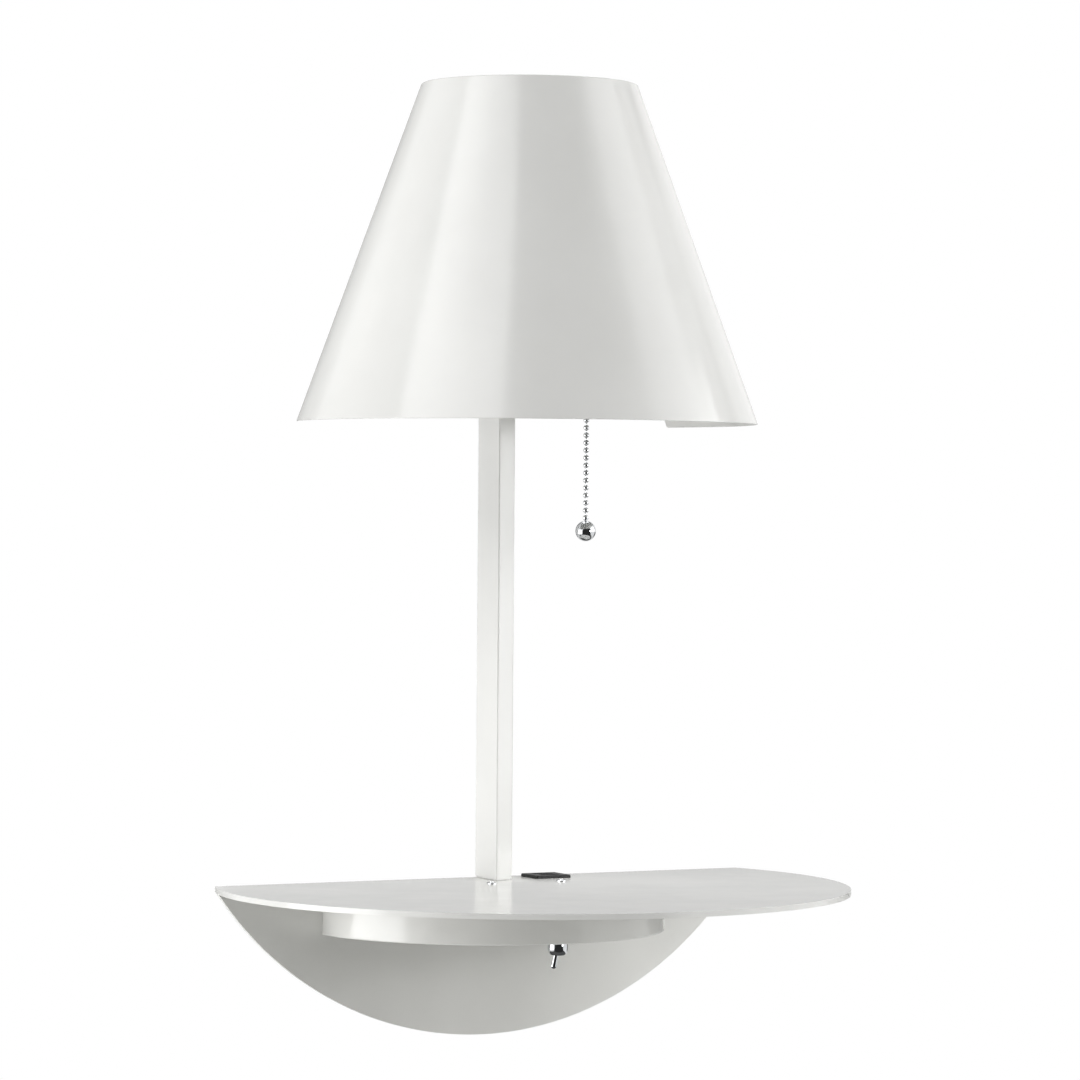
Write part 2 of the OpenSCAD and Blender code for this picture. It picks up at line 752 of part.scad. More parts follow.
module post_foot() {
  color(zinc) difference() {
    translate([-post_in_w / 2 + slip_gap, post_mid_y - post_in_d / 2 + slip_gap, shelf_top_z])
      cube([post_in_w - 2 * slip_gap, post_in_d - 2 * slip_gap, foot_h]);
    foot_screw_places() translate([0, 0, shelf_top_z - cut])
      cylinder(r = screw_thread_r, h = foot_h + 2 * cut);
    translate([0, cable_y, shelf_top_z - cut]) cylinder(r = cable_hole_r, h = foot_h + 2 * cut);
  }
}

module foot_screws() {
  color(zinc) foot_screw_places() translate([0, 0, shelf_under_z]) mirror([0, 0, 1])
    screw(foot_screw_len);
}

module post_cap() {
  plug_w = post_in_w - 2 * slip_gap;
  plug_d = post_in_d - 2 * slip_gap;
  color(powder_white) translate([0, post_mid_y, shelf_top_z + post_h]) union() {
    round_block(post_w, post_d, cap_t, post_corner_r);
    translate([-plug_w / 2, -plug_d / 2, -cap_plug_h]) cube([plug_w, plug_d, cap_plug_h + cut]);
  }
}

// The sheathed cable runs from the terminal block up through the post, out of
// its front and up into the lampholder's threaded tube
module lamp_cable() {
  run_low = block_y - (-cable_y + cable_bend);
  rise_z = cable_low_z + cable_bend;
  rise_h = cable_exit_z - cable_bend - rise_z;
  run_high = -cable_out_y + cable_y - 2 * cable_bend;
  color(white_plastic) union() {
    translate([0, 0, cable_low_z]) rod_y(cable_r, cable_y - cable_bend + cut, run_low + cable_in_block, 32);
    translate([0, cable_y - cable_bend, rise_z]) quarter_bend(cable_bend, cable_r);
    translate([0, cable_y, rise_z - cut]) cylinder(r = cable_r, h = rise_h + 2 * cut, $fn = 32);
    translate([0, cable_y - cable_bend, cable_exit_z - cable_bend])
      rotate([90, 0, 0]) quarter_bend(cable_bend, cable_r);
    translate([0, 0, cable_exit_z]) rod_y(cable_r, cable_y - cable_bend + cut, run_high + 2 * cut, 32);
    translate([0, cable_out_y + cable_bend, cable_exit_z + cable_bend])
      mirror([0, 1, 0]) quarter_bend(cable_bend, cable_r);
    translate([0, cable_out_y, cable_exit_z + cable_bend - cut])
      cylinder(r = cable_r, h = bracket_top_z + nipple_rise - cable_exit_z - cable_bend, $fn = 32);
  }
}

// The bracket is one bent sheet: a plate under the lampholder with an ear for
// the pull switch, and a tab that bends down onto the post
module lamp_bracket() {
  hole_r = nipple_d / 2 + hole_gap;
  ear_hole_r = barrel_d / 2 + hole_gap;
  tab_face_y = -post_d;
  bend_r = bracket_bend + bracket_t;
  bend_y = tab_face_y - bend_r;
  bend_z = bracket_top_z - bend_r;
  color(powder_white) difference() {
    union() {
      translate([0, -shade_axis, bracket_under_z]) cylinder(r = bracket_r, h = bracket_t);
      translate([-post_w / 2, -shade_axis, bracket_under_z])
        cube([post_w, shade_axis + bend_y, bracket_t]);
      translate([pull_x, -shade_axis, bracket_under_z]) cylinder(r = bracket_ear_r, h = bracket_t);
      translate([0, -shade_axis - bracket_ear_r, bracket_under_z])
        cube([pull_x, 2 * bracket_ear_r, bracket_t]);
      translate([-post_w / 2, tab_face_y - bracket_t, tab_low_z])
        cube([post_w, bracket_t, bend_z - tab_low_z]);
      translate([-post_w / 2, bend_y, bend_z]) difference() {
        intersection() {
          rotate([0, 90, 0]) cylinder(r = bend_r, h = post_w);
          cube([post_w, bend_r, bend_r]);
        }
        translate([-cut, 0, 0]) rotate([0, 90, 0]) cylinder(r = bracket_bend, h = post_w + 2 * cut);
      }
    }
    translate([0, -shade_axis, bracket_under_z - cut]) cylinder(r = hole_r, h = bracket_t + 2 * cut);
    translate([pull_x, -shade_axis, bracket_under_z - cut])
      cylinder(r = ear_hole_r, h = bracket_t + 2 * cut);
    tab_screw_places() rod_y(screw_hole_r, tab_face_y + cut, bracket_t + 2 * cut);
    translate([0, 0, cable_exit_z]) rod_y(cable_hole_r, tab_face_y + cut, bracket_t + 2 * cut);
  }
}

module bracket_screws() {
  color(zinc) tab_screw_places() translate([0, -post_d - bracket_t, 0]) rotate([90, 0, 0])
    screw(tab_screw_len);
}

module holder_nipple() {
  color(zinc) translate([0, -shade_axis, bracket_under_z - nipple_drop])
    tube(nipple_d / 2, nipple_bore / 2, nipple_drop + bracket_t + nipple_rise);
}

module nipple_nuts() {
  nut_bore_r = nipple_d / 2 + thread_gap;
  color(zinc) translate([0, -shade_axis, 0]) {
    translate([0, 0, bracket_under_z - nut_t]) nut(nut_flats, nut_bore_r, nut_t);
    translate([0, 0, bracket_top_z + holder_wall]) nut(nut_flats, nut_bore_r, nut_t);
  }
}

// The cup's section, drawn in by inset: a foot, a quarter round and a straight rim
function cup_section(inset) = concat(
  [[0, 0]],
  [for (a = [0:15:90]) [holder_foot_r - inset + (holder_r - holder_foot_r) * sin(a),
                        holder_round_h * (1 - cos(a))]],
  [[holder_r - inset, holder_cup_h], [0, holder_cup_h]]);

module holder_cup() {
  color(black_plastic) translate([0, -shade_axis, bracket_top_z]) difference() {
    rotate_extrude() polygon(cup_section(0));
    translate([0, 0, holder_wall]) rotate_extrude() polygon(cup_section(holder_wall));
    translate([0, 0, -cut]) cylinder(r = nipple_d / 2 + hole_gap, h = holder_wall + 2 * cut);
  }
}

module holder_sleeve() {
  color(black_plastic) translate([0, -shade_axis, cup_top_z]) difference() {
    union() {
      cylinder(r = holder_r, h = holder_shoulder_h);
      cylinder(r = holder_sleeve_r, h = holder_shoulder_h + holder_sleeve_h);
    }
    translate([0, 0, holder_floor])
      cylinder(r = holder_bore_r, h = holder_shoulder_h + holder_sleeve_h);
  }
}

module screw_shell() {
  shell_r = holder_bore_r - slip_gap;
  color(brass) translate([0, -shade_axis, holder_floor_z]) tube(shell_r, shell_r - shell_wall, shell_h);
}

module centre_contact() {
  color(brass) translate([-contact_w / 2, -shade_axis - contact_w / 2, holder_floor_z])
    cube([contact_w, contact_w, contact_t]);
}

// The cone that the fitter's arms reach, just inside the shade
module fitter_envelope(gap) {
  up_low = fitter_up - fitter_tab_h;
  up_high = fitter_up + fitter_t;
  translate([0, 0, up_low - fitter_up])
    cylinder(r1 = shade_in_r(up_low) - gap, r2 = shade_in_r(up_high) - gap, h = up_high - up_low,
             $fn = disc_fn);
}

module shade_fitter() {
  reach = shade_in_r(fitter_up - fitter_tab_h);
  color(zinc) translate([0, -shade_axis, shoulder_z]) difference() {
    union() {
      cylinder(r = fitter_ring_r, h = fitter_t);
      intersection() {
        fitter_envelope(seat_gap);
        for (a = [180, 270, 0]) rotate([0, 0, a]) union() {
          translate([0, -fitter_arm_w / 2, 0]) cube([reach, fitter_arm_w, fitter_t]);
          translate([0, -fitter_arm_w / 2, -fitter_tab_h]) difference() {
            cube([reach, fitter_arm_w, fitter_tab_h + cut]);
            translate([-cut, -cut, -cut])
              cube([shade_in_r(fitter_up) - fitter_t - seat_gap, fitter_arm_w + 2 * cut,
                    fitter_tab_h + cut]);
          }
        }
      }
    }
    translate([0, 0, -fitter_tab_h - cut])
      cylinder(r = holder_sleeve_r + hole_gap, h = fitter_tab_h + fitter_t + 2 * cut);
  }
}

module clamping_ring() {
  color(black_plastic) translate([0, -shade_axis, shoulder_z + fitter_t]) difference() {
    tube(ring_r, holder_sleeve_r + thread_gap, ring_h);
    for (i = [0:ring_notches - 1]) rotate([0, 0, i * 360 / ring_notches])
      translate([ring_r, 0, -cut]) cylinder(r = ring_notch_r, h = ring_h + 2 * cut, $fn = 32);
  }
}

module shade() {
  color(powder_white) intersection() {
    translate([0, -shade_axis, shade_low_z]) rotate_extrude($fn = disc_fn) polygon([
      [shade_low_r - shade_inset, 0], [shade_low_r, 0], [shade_top_r, shade_h],
      [shade_top_r - shade_inset, shade_h]]);
    translate([-2 * shade_low_r, -4 * shade_low_r - shade_wall_gap, shade_low_z - over])
      cube([4 * shade_low_r, 4 * shade_low_r, shade_h + 2 * over]);
  }
}

module bulb_cap() {
  color(zinc) translate([0, -shade_axis, bulb_low_z]) union() {
    translate([0, 0, cap_low]) cylinder(r = bulb_cap_r, h = bulb_cap_h - cap_low);
    cylinder(r = tip_r, h = tip_h);
  }
}

module bulb_insulator() {
  color(black_plastic) translate([0, -shade_axis, bulb_low_z + tip_h])
    cylinder(r1 = tip_r, r2 = bulb_cap_r - insulator_step, h = insulator_h);
}

// The lamp's housing is straight in the lampholder and swells above it
module bulb_collar() {
  swell = [for (a = [0:10:90]) [neck_r + (collar_r - neck_r) * sin(a),
                                neck_top + (collar_top - neck_top) * a / 90]];
  color(white_plastic) translate([0, -shade_axis, bulb_low_z]) rotate_extrude()
    polygon(concat([[0, bulb_cap_h], [neck_r, bulb_cap_h]], swell, [[0, collar_top]]));
}

module light_board() {
  color("white") translate([0, -shade_axis, bulb_low_z + collar_top]) cylinder(r = board_r, h = board_t);
}

module bulb_dome() {
  color([0.96, 0.95, 0.92]) translate([0, -shade_axis, bulb_low_z]) difference() {
    translate([0, 0, dome_mid]) sphere(r = bulb_r);
    translate([0, 0, dome_mid]) sphere(r = bulb_r - bulb_wall);
    translate([-2 * bulb_r, -2 * bulb_r, dome_mid - 2 * bulb_r])
      cube([4 * bulb_r, 4 * bulb_r, collar_top - dome_mid + 2 * bulb_r]);
  }
}

module pull_switch() {
  color(black_plastic) translate([pull_x, -shade_axis, bracket_top_z]) difference() {
    cylinder(r = pull_r, h = pull_h);
    translate([0, 0, pull_wall]) cylinder(r = pull_r - pull_wall, h = pull_h - 2 * pull_wall);
    translate([0, 0, -cut]) cylinder(r = barrel_bore / 2, h = pull_wall + 2 * cut);
  }
}

module switch_barrel() {
  color(bright_chrome) translate([pull_x, -shade_axis, mouth_z]) difference() {
    cylinder(r = barrel_d / 2, h = barrel_drop + bracket_t);
    translate([0, 0, -cut]) cylinder(r = barrel_bore / 2, h = barrel_drop + bracket_t + 2 * cut);
    translate([0, 0, -cut]) cylinder(r1 = barrel_mouth / 2, r2 = barrel_bore / 2, h = barrel_flare_h + cut);
  }
}

module barrel_nut() {
  color(bright_chrome) translate([pull_x, -shade_axis, bracket_under_z - nut_t])
    nut(barrel_nut_flats, barrel_d / 2 + thread_gap, nut_t);
}

module pull_plunger() {
  stem_r = barrel_bore / 2 - 2 * seat_gap;
  wire_low_z = top_bead_z + bead_r + link_gap;
  color(white_plastic) translate([pull_x, -shade_axis, 0]) union() {
    translate([0, 0, plunger_head_z]) cylinder(r = plunger_head_r, h = plunger_head_t);
    translate([0, 0, plunger_low_z]) cylinder(r = stem_r, h = plunger_len + cut);
    translate([0, 0, wire_low_z]) cylinder(r = bead_wire_d / 2, h = plunger_low_z - wire_low_z + cut);
  }
}

module chain_top_bead() {
  color(bright_chrome) translate([pull_x, -shade_axis, top_bead_z]) sphere(r = bead_r);
}

module pull_chain() {
  wire_top = top_bead_z - bead_r - link_gap;
  wire_low = ball_z + ball_r - ball_wire_depth;
  color(bright_chrome) translate([pull_x, -shade_axis, 0]) union() {
    for (i = [1:bead_count]) translate([0, 0, top_bead_z - i * bead_pitch]) sphere(r = bead_r, $fn = 48);
    translate([0, 0, wire_low]) cylinder(r = bead_wire_d / 2, h = wire_top - wire_low);
  }
}

module pull_ball() {
  color(bright_chrome) translate([pull_x, -shade_axis, ball_z]) difference() {
    sphere(r = ball_r);
    translate([0, 0, ball_r - ball_wire_depth - slip_gap])
      cylinder(r = bead_wire_d / 2 + link_gap, h = ball_wire_depth + slip_gap + cut);
  }
}

wall_plate();
shelf_plate();
shelf_angles();
housing_pan();
pan_pillars();
shelf_screws();
usb_flange();
usb_body();
usb_shells();
usb_tongues();
toggle_body();
toggle_terminals();
toggle_bushing();
toggle_nut();
toggle_lever();
terminal_block();
earth_screw();
post();
post_foot();
foot_screws();
post_cap();
lamp_cable();
lamp_bracket();
bracket_screws();
holder_nipple();
nipple_nuts();
holder_cup();
holder_sleeve();
screw_shell();
centre_contact();
shade_fitter();
clamping_ring();
shade();
bulb_cap();
bulb_insulator();
bulb_collar();
light_board();
bulb_dome();
pull_switch();
switch_barrel();
barrel_nut();
pull_plunger();
chain_top_bead();
pull_chain();
pull_ball();
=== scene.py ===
"""Wall lamp with a round shelf: the finish of every piece, round its fixed frame.

Metres, +Z up, the wall is the plane Y = 0, the lamp stands out towards -Y, and the origin is
midway between the two fixing holes. Sizes are written in millimetres and turned by mm().
"""

import json
import math

import bmesh
import bpy
from mathutils import Matrix, Vector

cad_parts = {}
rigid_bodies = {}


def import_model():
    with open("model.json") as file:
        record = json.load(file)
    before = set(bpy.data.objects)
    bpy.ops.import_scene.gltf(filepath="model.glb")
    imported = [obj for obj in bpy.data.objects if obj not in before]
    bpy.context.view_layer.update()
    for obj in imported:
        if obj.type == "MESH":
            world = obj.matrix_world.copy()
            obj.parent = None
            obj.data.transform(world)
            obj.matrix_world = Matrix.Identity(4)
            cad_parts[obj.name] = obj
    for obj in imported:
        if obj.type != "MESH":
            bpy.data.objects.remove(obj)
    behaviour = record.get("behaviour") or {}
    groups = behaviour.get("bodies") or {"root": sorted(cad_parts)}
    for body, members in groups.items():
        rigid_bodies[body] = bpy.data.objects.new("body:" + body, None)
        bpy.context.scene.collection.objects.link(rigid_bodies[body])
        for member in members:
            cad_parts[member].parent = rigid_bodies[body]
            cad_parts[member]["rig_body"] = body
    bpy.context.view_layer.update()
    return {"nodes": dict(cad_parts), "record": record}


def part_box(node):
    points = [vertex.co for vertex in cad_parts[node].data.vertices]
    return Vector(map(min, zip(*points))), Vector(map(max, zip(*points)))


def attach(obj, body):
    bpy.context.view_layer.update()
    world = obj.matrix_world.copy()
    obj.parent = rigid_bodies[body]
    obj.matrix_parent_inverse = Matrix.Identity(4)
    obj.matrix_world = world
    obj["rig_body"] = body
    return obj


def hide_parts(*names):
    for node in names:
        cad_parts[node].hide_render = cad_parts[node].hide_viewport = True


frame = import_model()


# ------------------------------------------------------------------ measures

def mm(value):
    """A length in millimetres, as metres."""
    return value * 0.001


def spot(x, y, z):
    """A point given in millimetres."""
    return Vector((mm(x), mm(y), mm(z)))


FINE = mm(0.002)  # points closer than this are one point
HAIR = mm(0.0005)  # how near a cutting plane a point counts as on it
OVERRUN = mm(1)  # how far a cutter reaches past the piece it cuts

COAT_EDGE = mm(0.45)  # radius that the powder coat leaves on a sheet's edge
PLATE_LOW, PLATE_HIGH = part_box("wall_plate")
SHELF_LOW, SHELF_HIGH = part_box("shelf_plate")
PAN_LOW, PAN_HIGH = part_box("housing_pan")
POST_LOW, POST_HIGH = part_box("post")
CAP_LOW, CAP_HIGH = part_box("post_cap")
SHADE_LOW, SHADE_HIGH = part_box("shade")
FLANGE_LOW, FLANGE_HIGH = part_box("usb_flange")
NUT_LOW, NUT_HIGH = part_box("toggle_nut")
BALL_LOW, BALL_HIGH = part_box("pull_ball")
CHAIN_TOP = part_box("pull_chain")[1].z
TOP_BEAD_LOW, TOP_BEAD_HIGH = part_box("chain_top_bead")

FIX_X, FIX_R = mm(60), mm(2.5)  # the two fixing holes in the wall plate
SUPPLY_R = mm(10)  # its hole for the supply wires
EARTH_HOLE, EARTH_HOLE_R = spot(-30, -1.5, 2), mm(2.05)
PAN_WALL, PAN_EDGE = mm(1.2), mm(0.8)
BUSHING_HOLE_R = mm(3.35)
POST_WALL, POST_CORNER = mm(1.2), mm(1)
SHADE_WALL, SHADE_TOP_R = mm(1.2), mm(60.5)
SHADE_AXIS_Y = SHADE_LOW.y + SHADE_HIGH.x
SCREW_HOLE_R = mm(1.7)  # lets a 3 mm screw through
SHELF_SCREWS = [spot(-17.5, -45, 17), spot(26.5, -45, 17)]
FOOT_SCREWS_Y = (mm(-6.2), mm(-19.8))
BRACKET_SCREWS_Z = (mm(284), mm(305.5))
CABLE_Y, CABLE_EXIT_Z = mm(-13), mm(295)  # where the cable enters the post and leaves it
CABLE_HOLE_R, CABLE_BEND = mm(2.7), mm(8)
PORT_X, PORT_HALF_X, PORT_HALF_Y = 32, 6.3, 2.6
PORTS = [(spot(PORT_X - PORT_HALF_X, y - PORT_HALF_Y, 0), spot(PORT_X + PORT_HALF_X, y + PORT_HALF_Y, 0))
         for y in (-20, -12)]
LAMP_X, LAMP_Y = 0.0, mm(-50)  # the line through the lampholder and the lamp
PULL_X = mm(37.7)  # the pull switch's line, as far from the wall


# ------------------------------------------------------------------ colours and nodes

def colour(hex_code):
    """A colour written as sRGB hex, as the linear values that Blender works in."""
    parts = [int(hex_code[i:i + 2], 16) / 255 for i in (1, 3, 5)]
    linear = [p / 12.92 if p <= 0.04045 else ((p + 0.055) / 1.055) ** 2.4 for p in parts]
    return (*linear, 1.0)


def add_node(tree, kind, inputs=None, **settings):
    """Adds a node with its settings. An input is a value, or a (node, output) pair to link."""
    made = tree.nodes.new(kind)
    for name, value in settings.items():
        setattr(made, name, value)
    for name, value in (inputs or {}).items():
        if isinstance(value, tuple) and isinstance(value[0], bpy.types.Node):
            tree.links.new(value[0].outputs[value[1]], made.inputs[name])
        else:
            made.inputs[name].default_value = value
    return made


def skinned(name, dark, light, rough, patch, lump, depth, also):
    """A finish whose colour and roughness wander between two values over patches, under a skin of
    small lumps. Patch and lump are their sizes, depth is the lumps' height, and also is what the
    shader has all over."""
    material = bpy.data.materials.new(name)
    material.use_nodes = True
    tree = material.node_tree
    tree.nodes.clear()
    place_at = add_node(tree, "ShaderNodeTexCoord")
    patches = add_node(tree, "ShaderNodeTexNoise", {
        "Vector": (place_at, "Object"), "Scale": 1 / patch, "Detail": 3.0})
    lumps = add_node(tree, "ShaderNodeTexNoise", {
        "Vector": (place_at, "Object"), "Scale": 1 / lump, "Detail": 1.5})
    share = add_node(tree, "ShaderNodeMapRange", {
        "Value": (patches, "Fac"), "From Min": 0.35, "From Max": 0.65})
    tint = add_node(tree, "ShaderNodeMix", {
        "Factor": (share, "Result"), 6: colour(dark), 7: colour(light)}, data_type="RGBA")
    gloss = add_node(tree, "ShaderNodeMapRange", {
        "Value": (share, "Result"), "To Min": rough[0], "To Max": rough[1]})
    relief = add_node(tree, "ShaderNodeBump", {"Height": (lumps, "Fac"), "Distance": depth})
    shader = add_node(tree, "ShaderNodeBsdfPrincipled", {
        "Base Color": (tint, 2), "Roughness": (gloss, "Result"), "Normal": (relief, "Normal"), **also})
    add_node(tree, "ShaderNodeOutputMaterial", {"Surface": (shader, "BSDF")})
    return material


# ------------------------------------------------------------------ finishes

METAL = {"Metallic": 1.0}


def powder_coat():
    """Polyester powder, sprayed and baked: a satin white skin with a faint orange peel."""
    return skinned("satin_powder_coat", "#F0F0ED", "#F4F4F1", (0.16, 0.20), mm(60), mm(2.2),
                   mm(0.005), {"IOR": 1.5})


def chrome():
    """Bright nickel-chrome plate on brass: a near mirror, with the polisher's faint waves."""
    return skinned("bright_chrome_plate", "#D0D2D4", "#DBDDDF", (0.05, 0.09), mm(5), mm(1.2),
                   mm(0.0006), METAL)


def zinc_plate():
    """Blue-passivated zinc on steel: a soft grey gleam, cloudy where the bath drained."""
    return skinned("blue_zinc_plate", "#A9AFB4", "#C2C6C9", (0.26, 0.40), mm(9), mm(0.5),
                   mm(0.003), METAL)


def brass():
    """Stamped brass, slightly darkened by handling."""
    return skinned("stamped_brass", "#B08A45", "#CFAE66", (0.20, 0.34), mm(6), mm(0.4),
                   mm(0.002), METAL)


def black_abs():
    """Injection-moulded ABS with a fine spark-eroded grain, so it looks a soft dark grey."""
    return skinned("black_moulded_abs", "#0E0E0F", "#151516", (0.38, 0.48), mm(6), mm(0.35),
                   mm(0.010), {"IOR": 1.53, "Specular IOR Level": 0.3})


def phenolic():
    """Compression-moulded phenolic: a glossy brown-black with faint flow clouds."""
    return skinned("black_phenolic", "#14110F", "#211B18", (0.22, 0.34), mm(7), mm(0.8),
                   mm(0.004), {"IOR": 1.6})


def white_abs():
    """Injection-moulded white plastic, a little warm beside the powder coat."""
    return skinned("white_moulded_plastic", "#E6E4DD", "#EFEDE7", (0.34, 0.44), mm(8), mm(0.5),
                   mm(0.004), {"IOR": 1.53})


def switch_blue():
    """Glass-filled nylon of a small switch's case: matt, with a coarse skin of fibres."""
    return skinned("blue_filled_nylon", "#1B2D5E", "#24396F", (0.45, 0.56), mm(4), mm(0.4),
                   mm(0.010), {"IOR": 1.53})


def earth_green():
    """Green passivation that marks an earth screw."""
    return skinned("green_passivated_steel", "#3E7A45", "#569360", (0.30, 0.42), mm(3), mm(0.4),
                   mm(0.003), METAL)


def cable_sheath():
    """Extruded PVC sheath, matt, with the faint waves of the die."""
    return skinned("white_pvc_sheath", "#DEDCD5", "#E9E7E1", (0.48, 0.58), mm(12), mm(1.5),
                   mm(0.010), {"IOR": 1.53})


def light_board():
    """White solder mask over copper, with a faint print of the tracks below."""
    return skinned("white_solder_mask", "#E4E6E1", "#F0F1EC", (0.30, 0.42), mm(3), mm(1.1),
                   mm(0.012), {"IOR": 1.5})


def opal_cover():
    """Opal polycarbonate: white through its thickness, so light spreads a little below the skin."""
    return skinned("opal_polycarbonate", "#F0EEE8", "#F6F4EF", (0.26, 0.34), mm(15), mm(0.9),
                   mm(0.003), {"IOR": 1.58, "Subsurface Weight": 0.35, "Subsurface Scale": 1.0,
                               "Subsurface Radius": (mm(3), mm(3), mm(2.6))})


FINISHES = {make.__name__: make() for make in (
    powder_coat, chrome, zinc_plate, brass, black_abs, phenolic, white_abs, switch_blue,
    earth_green, cable_sheath, light_board, opal_cover)}

NODE_FINISH = {part["node"]: part["material_slot"] for part in frame["record"]["subparts"]}
for node_name, node_object in frame["nodes"].items():
    node_object.data.materials.clear()
    node_object.data.materials.append(FINISHES[NODE_FINISH[node_name]])


# ------------------------------------------------------------------ modelling by hand

def start(name):
    """Names the primitive that was just added, puts its place in its mesh and opens it."""
    piece = bpy.context.object
    piece.name = piece.data.name = name
    bpy.ops.object.transform_apply(location=True, rotation=True, scale=True)
    bpy.ops.object.mode_set(mode="EDIT")
    bpy.ops.mesh.select_mode(type="VERT")
    return piece


def close():
    """Leaves edit mode."""
    bpy.ops.object.mode_set(mode="OBJECT")


def only(piece):
    """Selects one object alone."""
    bpy.ops.object.select_all(action="DESELECT")
    piece.select_set(True)
    bpy.context.view_layer.objects.active = piece


def choose(kind, test):
    """In edit mode, selects the points, edges or faces that pass the test, and no others."""
    bpy.ops.mesh.select_mode(type=kind)
    bpy.ops.mesh.select_all(action="DESELECT")
    mesh = bmesh.from_edit_mesh(bpy.context.object.data)
    mesh.normal_update()
    for element in {"VERT": mesh.verts, "EDGE": mesh.edges, "FACE": mesh.faces}[kind]:
        if test(element):
            element.select_set(True)
    mesh.select_flush_mode()
    bmesh.update_edit_mesh(bpy.context.object.data)


def upright(least):
    """A test for edges that rise by more than this."""
    return lambda edge: abs(edge.verts[0].co.z - edge.verts[1].co.z) > least


def on_top(level):
    """A test for edges that lie at the piece's top."""
    return lambda edge: min(point.co.z for point in edge.verts) > level - FINE


def facing_down(face):
    """A test for the faces of the piece's foot."""
    return face.normal.z < -0.9


def applied(piece, kind, **settings):
    """Adds a modifier with its settings and applies it."""
    only(piece)
    modifier = piece.modifiers.new(kind.title(), kind)
    for name, value in settings.items():
        setattr(modifier, name, value)
    bpy.ops.object.modifier_apply(modifier=modifier.name)
    return piece


def combined(piece, operation, *tools):
    """Gives the piece the tools' shapes, by union, difference or intersection."""
    for tool in tools:
        applied(piece, "BOOLEAN", operation=operation, solver="EXACT", object=tool)
        bpy.data.objects.remove(tool, do_unlink=True)
    return piece


def cut_out(piece, *cutters):
    """Takes the cutters' shapes out of the piece."""
    return combined(piece, "DIFFERENCE", *cutters)


def soften(piece, width, segments=3, angle=32):
    """Rounds every edge that is sharper than angle."""
    return applied(piece, "BEVEL", width=width, segments=segments, limit_method="ANGLE",
                   angle_limit=math.radians(angle), miter_outer="MITER_ARC")


def rod(centre, radius, length, axis="Z", sides=64):
    """A round bar for cutting, centred on a point."""
    turn = {"X": (0, math.pi / 2, 0), "Y": (math.pi / 2, 0, 0), "Z": (0, 0, 0)}[axis]
    bpy.ops.object.select_all(action="DESELECT")
    bpy.ops.mesh.primitive_cylinder_add(vertices=sides, radius=radius, depth=length,
                                        location=centre, rotation=turn)
    bar = start("cutter")
    close()
    return bar


def block(name, low, high):
    """A block between two corners, open in edit mode."""
    middle, size = (low + high) / 2, high - low
    bpy.ops.object.select_all(action="DESELECT")
    bpy.ops.mesh.primitive_cube_add(size=1, location=middle, scale=size)
    return start(name)


def arc(centre_r, centre_z, radius, first, last, count=6):
    """Points along an arc of a section, by angles in degrees."""
    turns = [math.radians(first + (last - first) * i / count) for i in range(count + 1)]
    return [(centre_r + radius * math.cos(a), centre_z + radius * math.sin(a)) for a in turns]


def turned(name, at, section, steps=96):
    """Spins a section round the upright line through a point. The section lists (radius, height)
    above that point, and is closed unless both its ends lie on the line."""
    bpy.ops.object.select_all(action="DESELECT")
    bpy.ops.mesh.primitive_plane_add(size=mm(1), location=at)
    piece = start(name)
    bpy.ops.mesh.merge(type="CENTER")
    path = list(section)
    if path[0][0] > 0 or path[-1][0] > 0:
        path.append(path[0])
    bpy.ops.transform.translate(value=(path[0][0], 0, path[0][1]))
    for (r0, z0), (r1, z1) in zip(path, path[1:]):
        bpy.ops.mesh.extrude_region_move(TRANSFORM_OT_translate={"value": (r1 - r0, 0, z1 - z0)})
    bpy.ops.mesh.select_all(action="SELECT")
    bpy.ops.mesh.spin(steps=steps, angle=2 * math.pi, center=at, axis=(0, 0, 1))
    bpy.ops.mesh.select_all(action="SELECT")
    bpy.ops.mesh.remove_doubles(threshold=FINE)
    bpy.ops.mesh.delete_loose()
    bpy.ops.mesh.normals_make_consistent(inside=False)
    close()
    return piece


def cut_at_wall(piece, y):
    """Cuts off what lies behind the plane at y, and closes the cut."""
    only(piece)
    bpy.ops.object.mode_set(mode="EDIT")
    bpy.ops.mesh.select_all(action="SELECT")
    bpy.ops.mesh.bisect(plane_co=(0, y, 0), plane_no=(0, 1, 0), use_fill=True, clear_outer=True,
                        threshold=HAIR)
    close()
    return piece


def copies(piece, name, moves):
    """Copies a piece along each move, and joins them all as one piece."""
    made = []
    for move in moves:
        twin = piece.copy()
        twin.data = piece.data.copy()
        twin.data.transform(Matrix.Translation(move))
        bpy.context.scene.collection.objects.link(twin)
        made.append(twin)
    bpy.data.objects.remove(piece, do_unlink=True)
    return joined(name, *made)


def joined(name, *pieces):
    """Several meshes as one piece."""
    only(pieces[0])
    for piece in pieces[1:]:
        piece.select_set(True)
    if len(pieces) > 1:
        bpy.ops.object.join()
    piece = bpy.context.view_layer.objects.active
    piece.name = piece.data.name = name
    return piece


def place(piece, *nodes, finish=None, angle=35, even=True):
    """Smooths a finished piece, gives it its finish and puts it in its nodes' place."""
    only(piece)
    bpy.ops.object.shade_smooth_by_angle(angle=math.radians(angle))
    if even:
        applied(piece, "WEIGHTED_NORMAL", keep_sharp=True)
    slot = finish or NODE_FINISH[nodes[0]]
    piece.data.materials.clear()
    piece.data.materials.append(FINISHES[slot])
    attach(piece, frame["nodes"][nodes[0]]["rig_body"])
    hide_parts(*nodes)
    return piece


# ------------------------------------------------------------------ plates, housing, post, shade

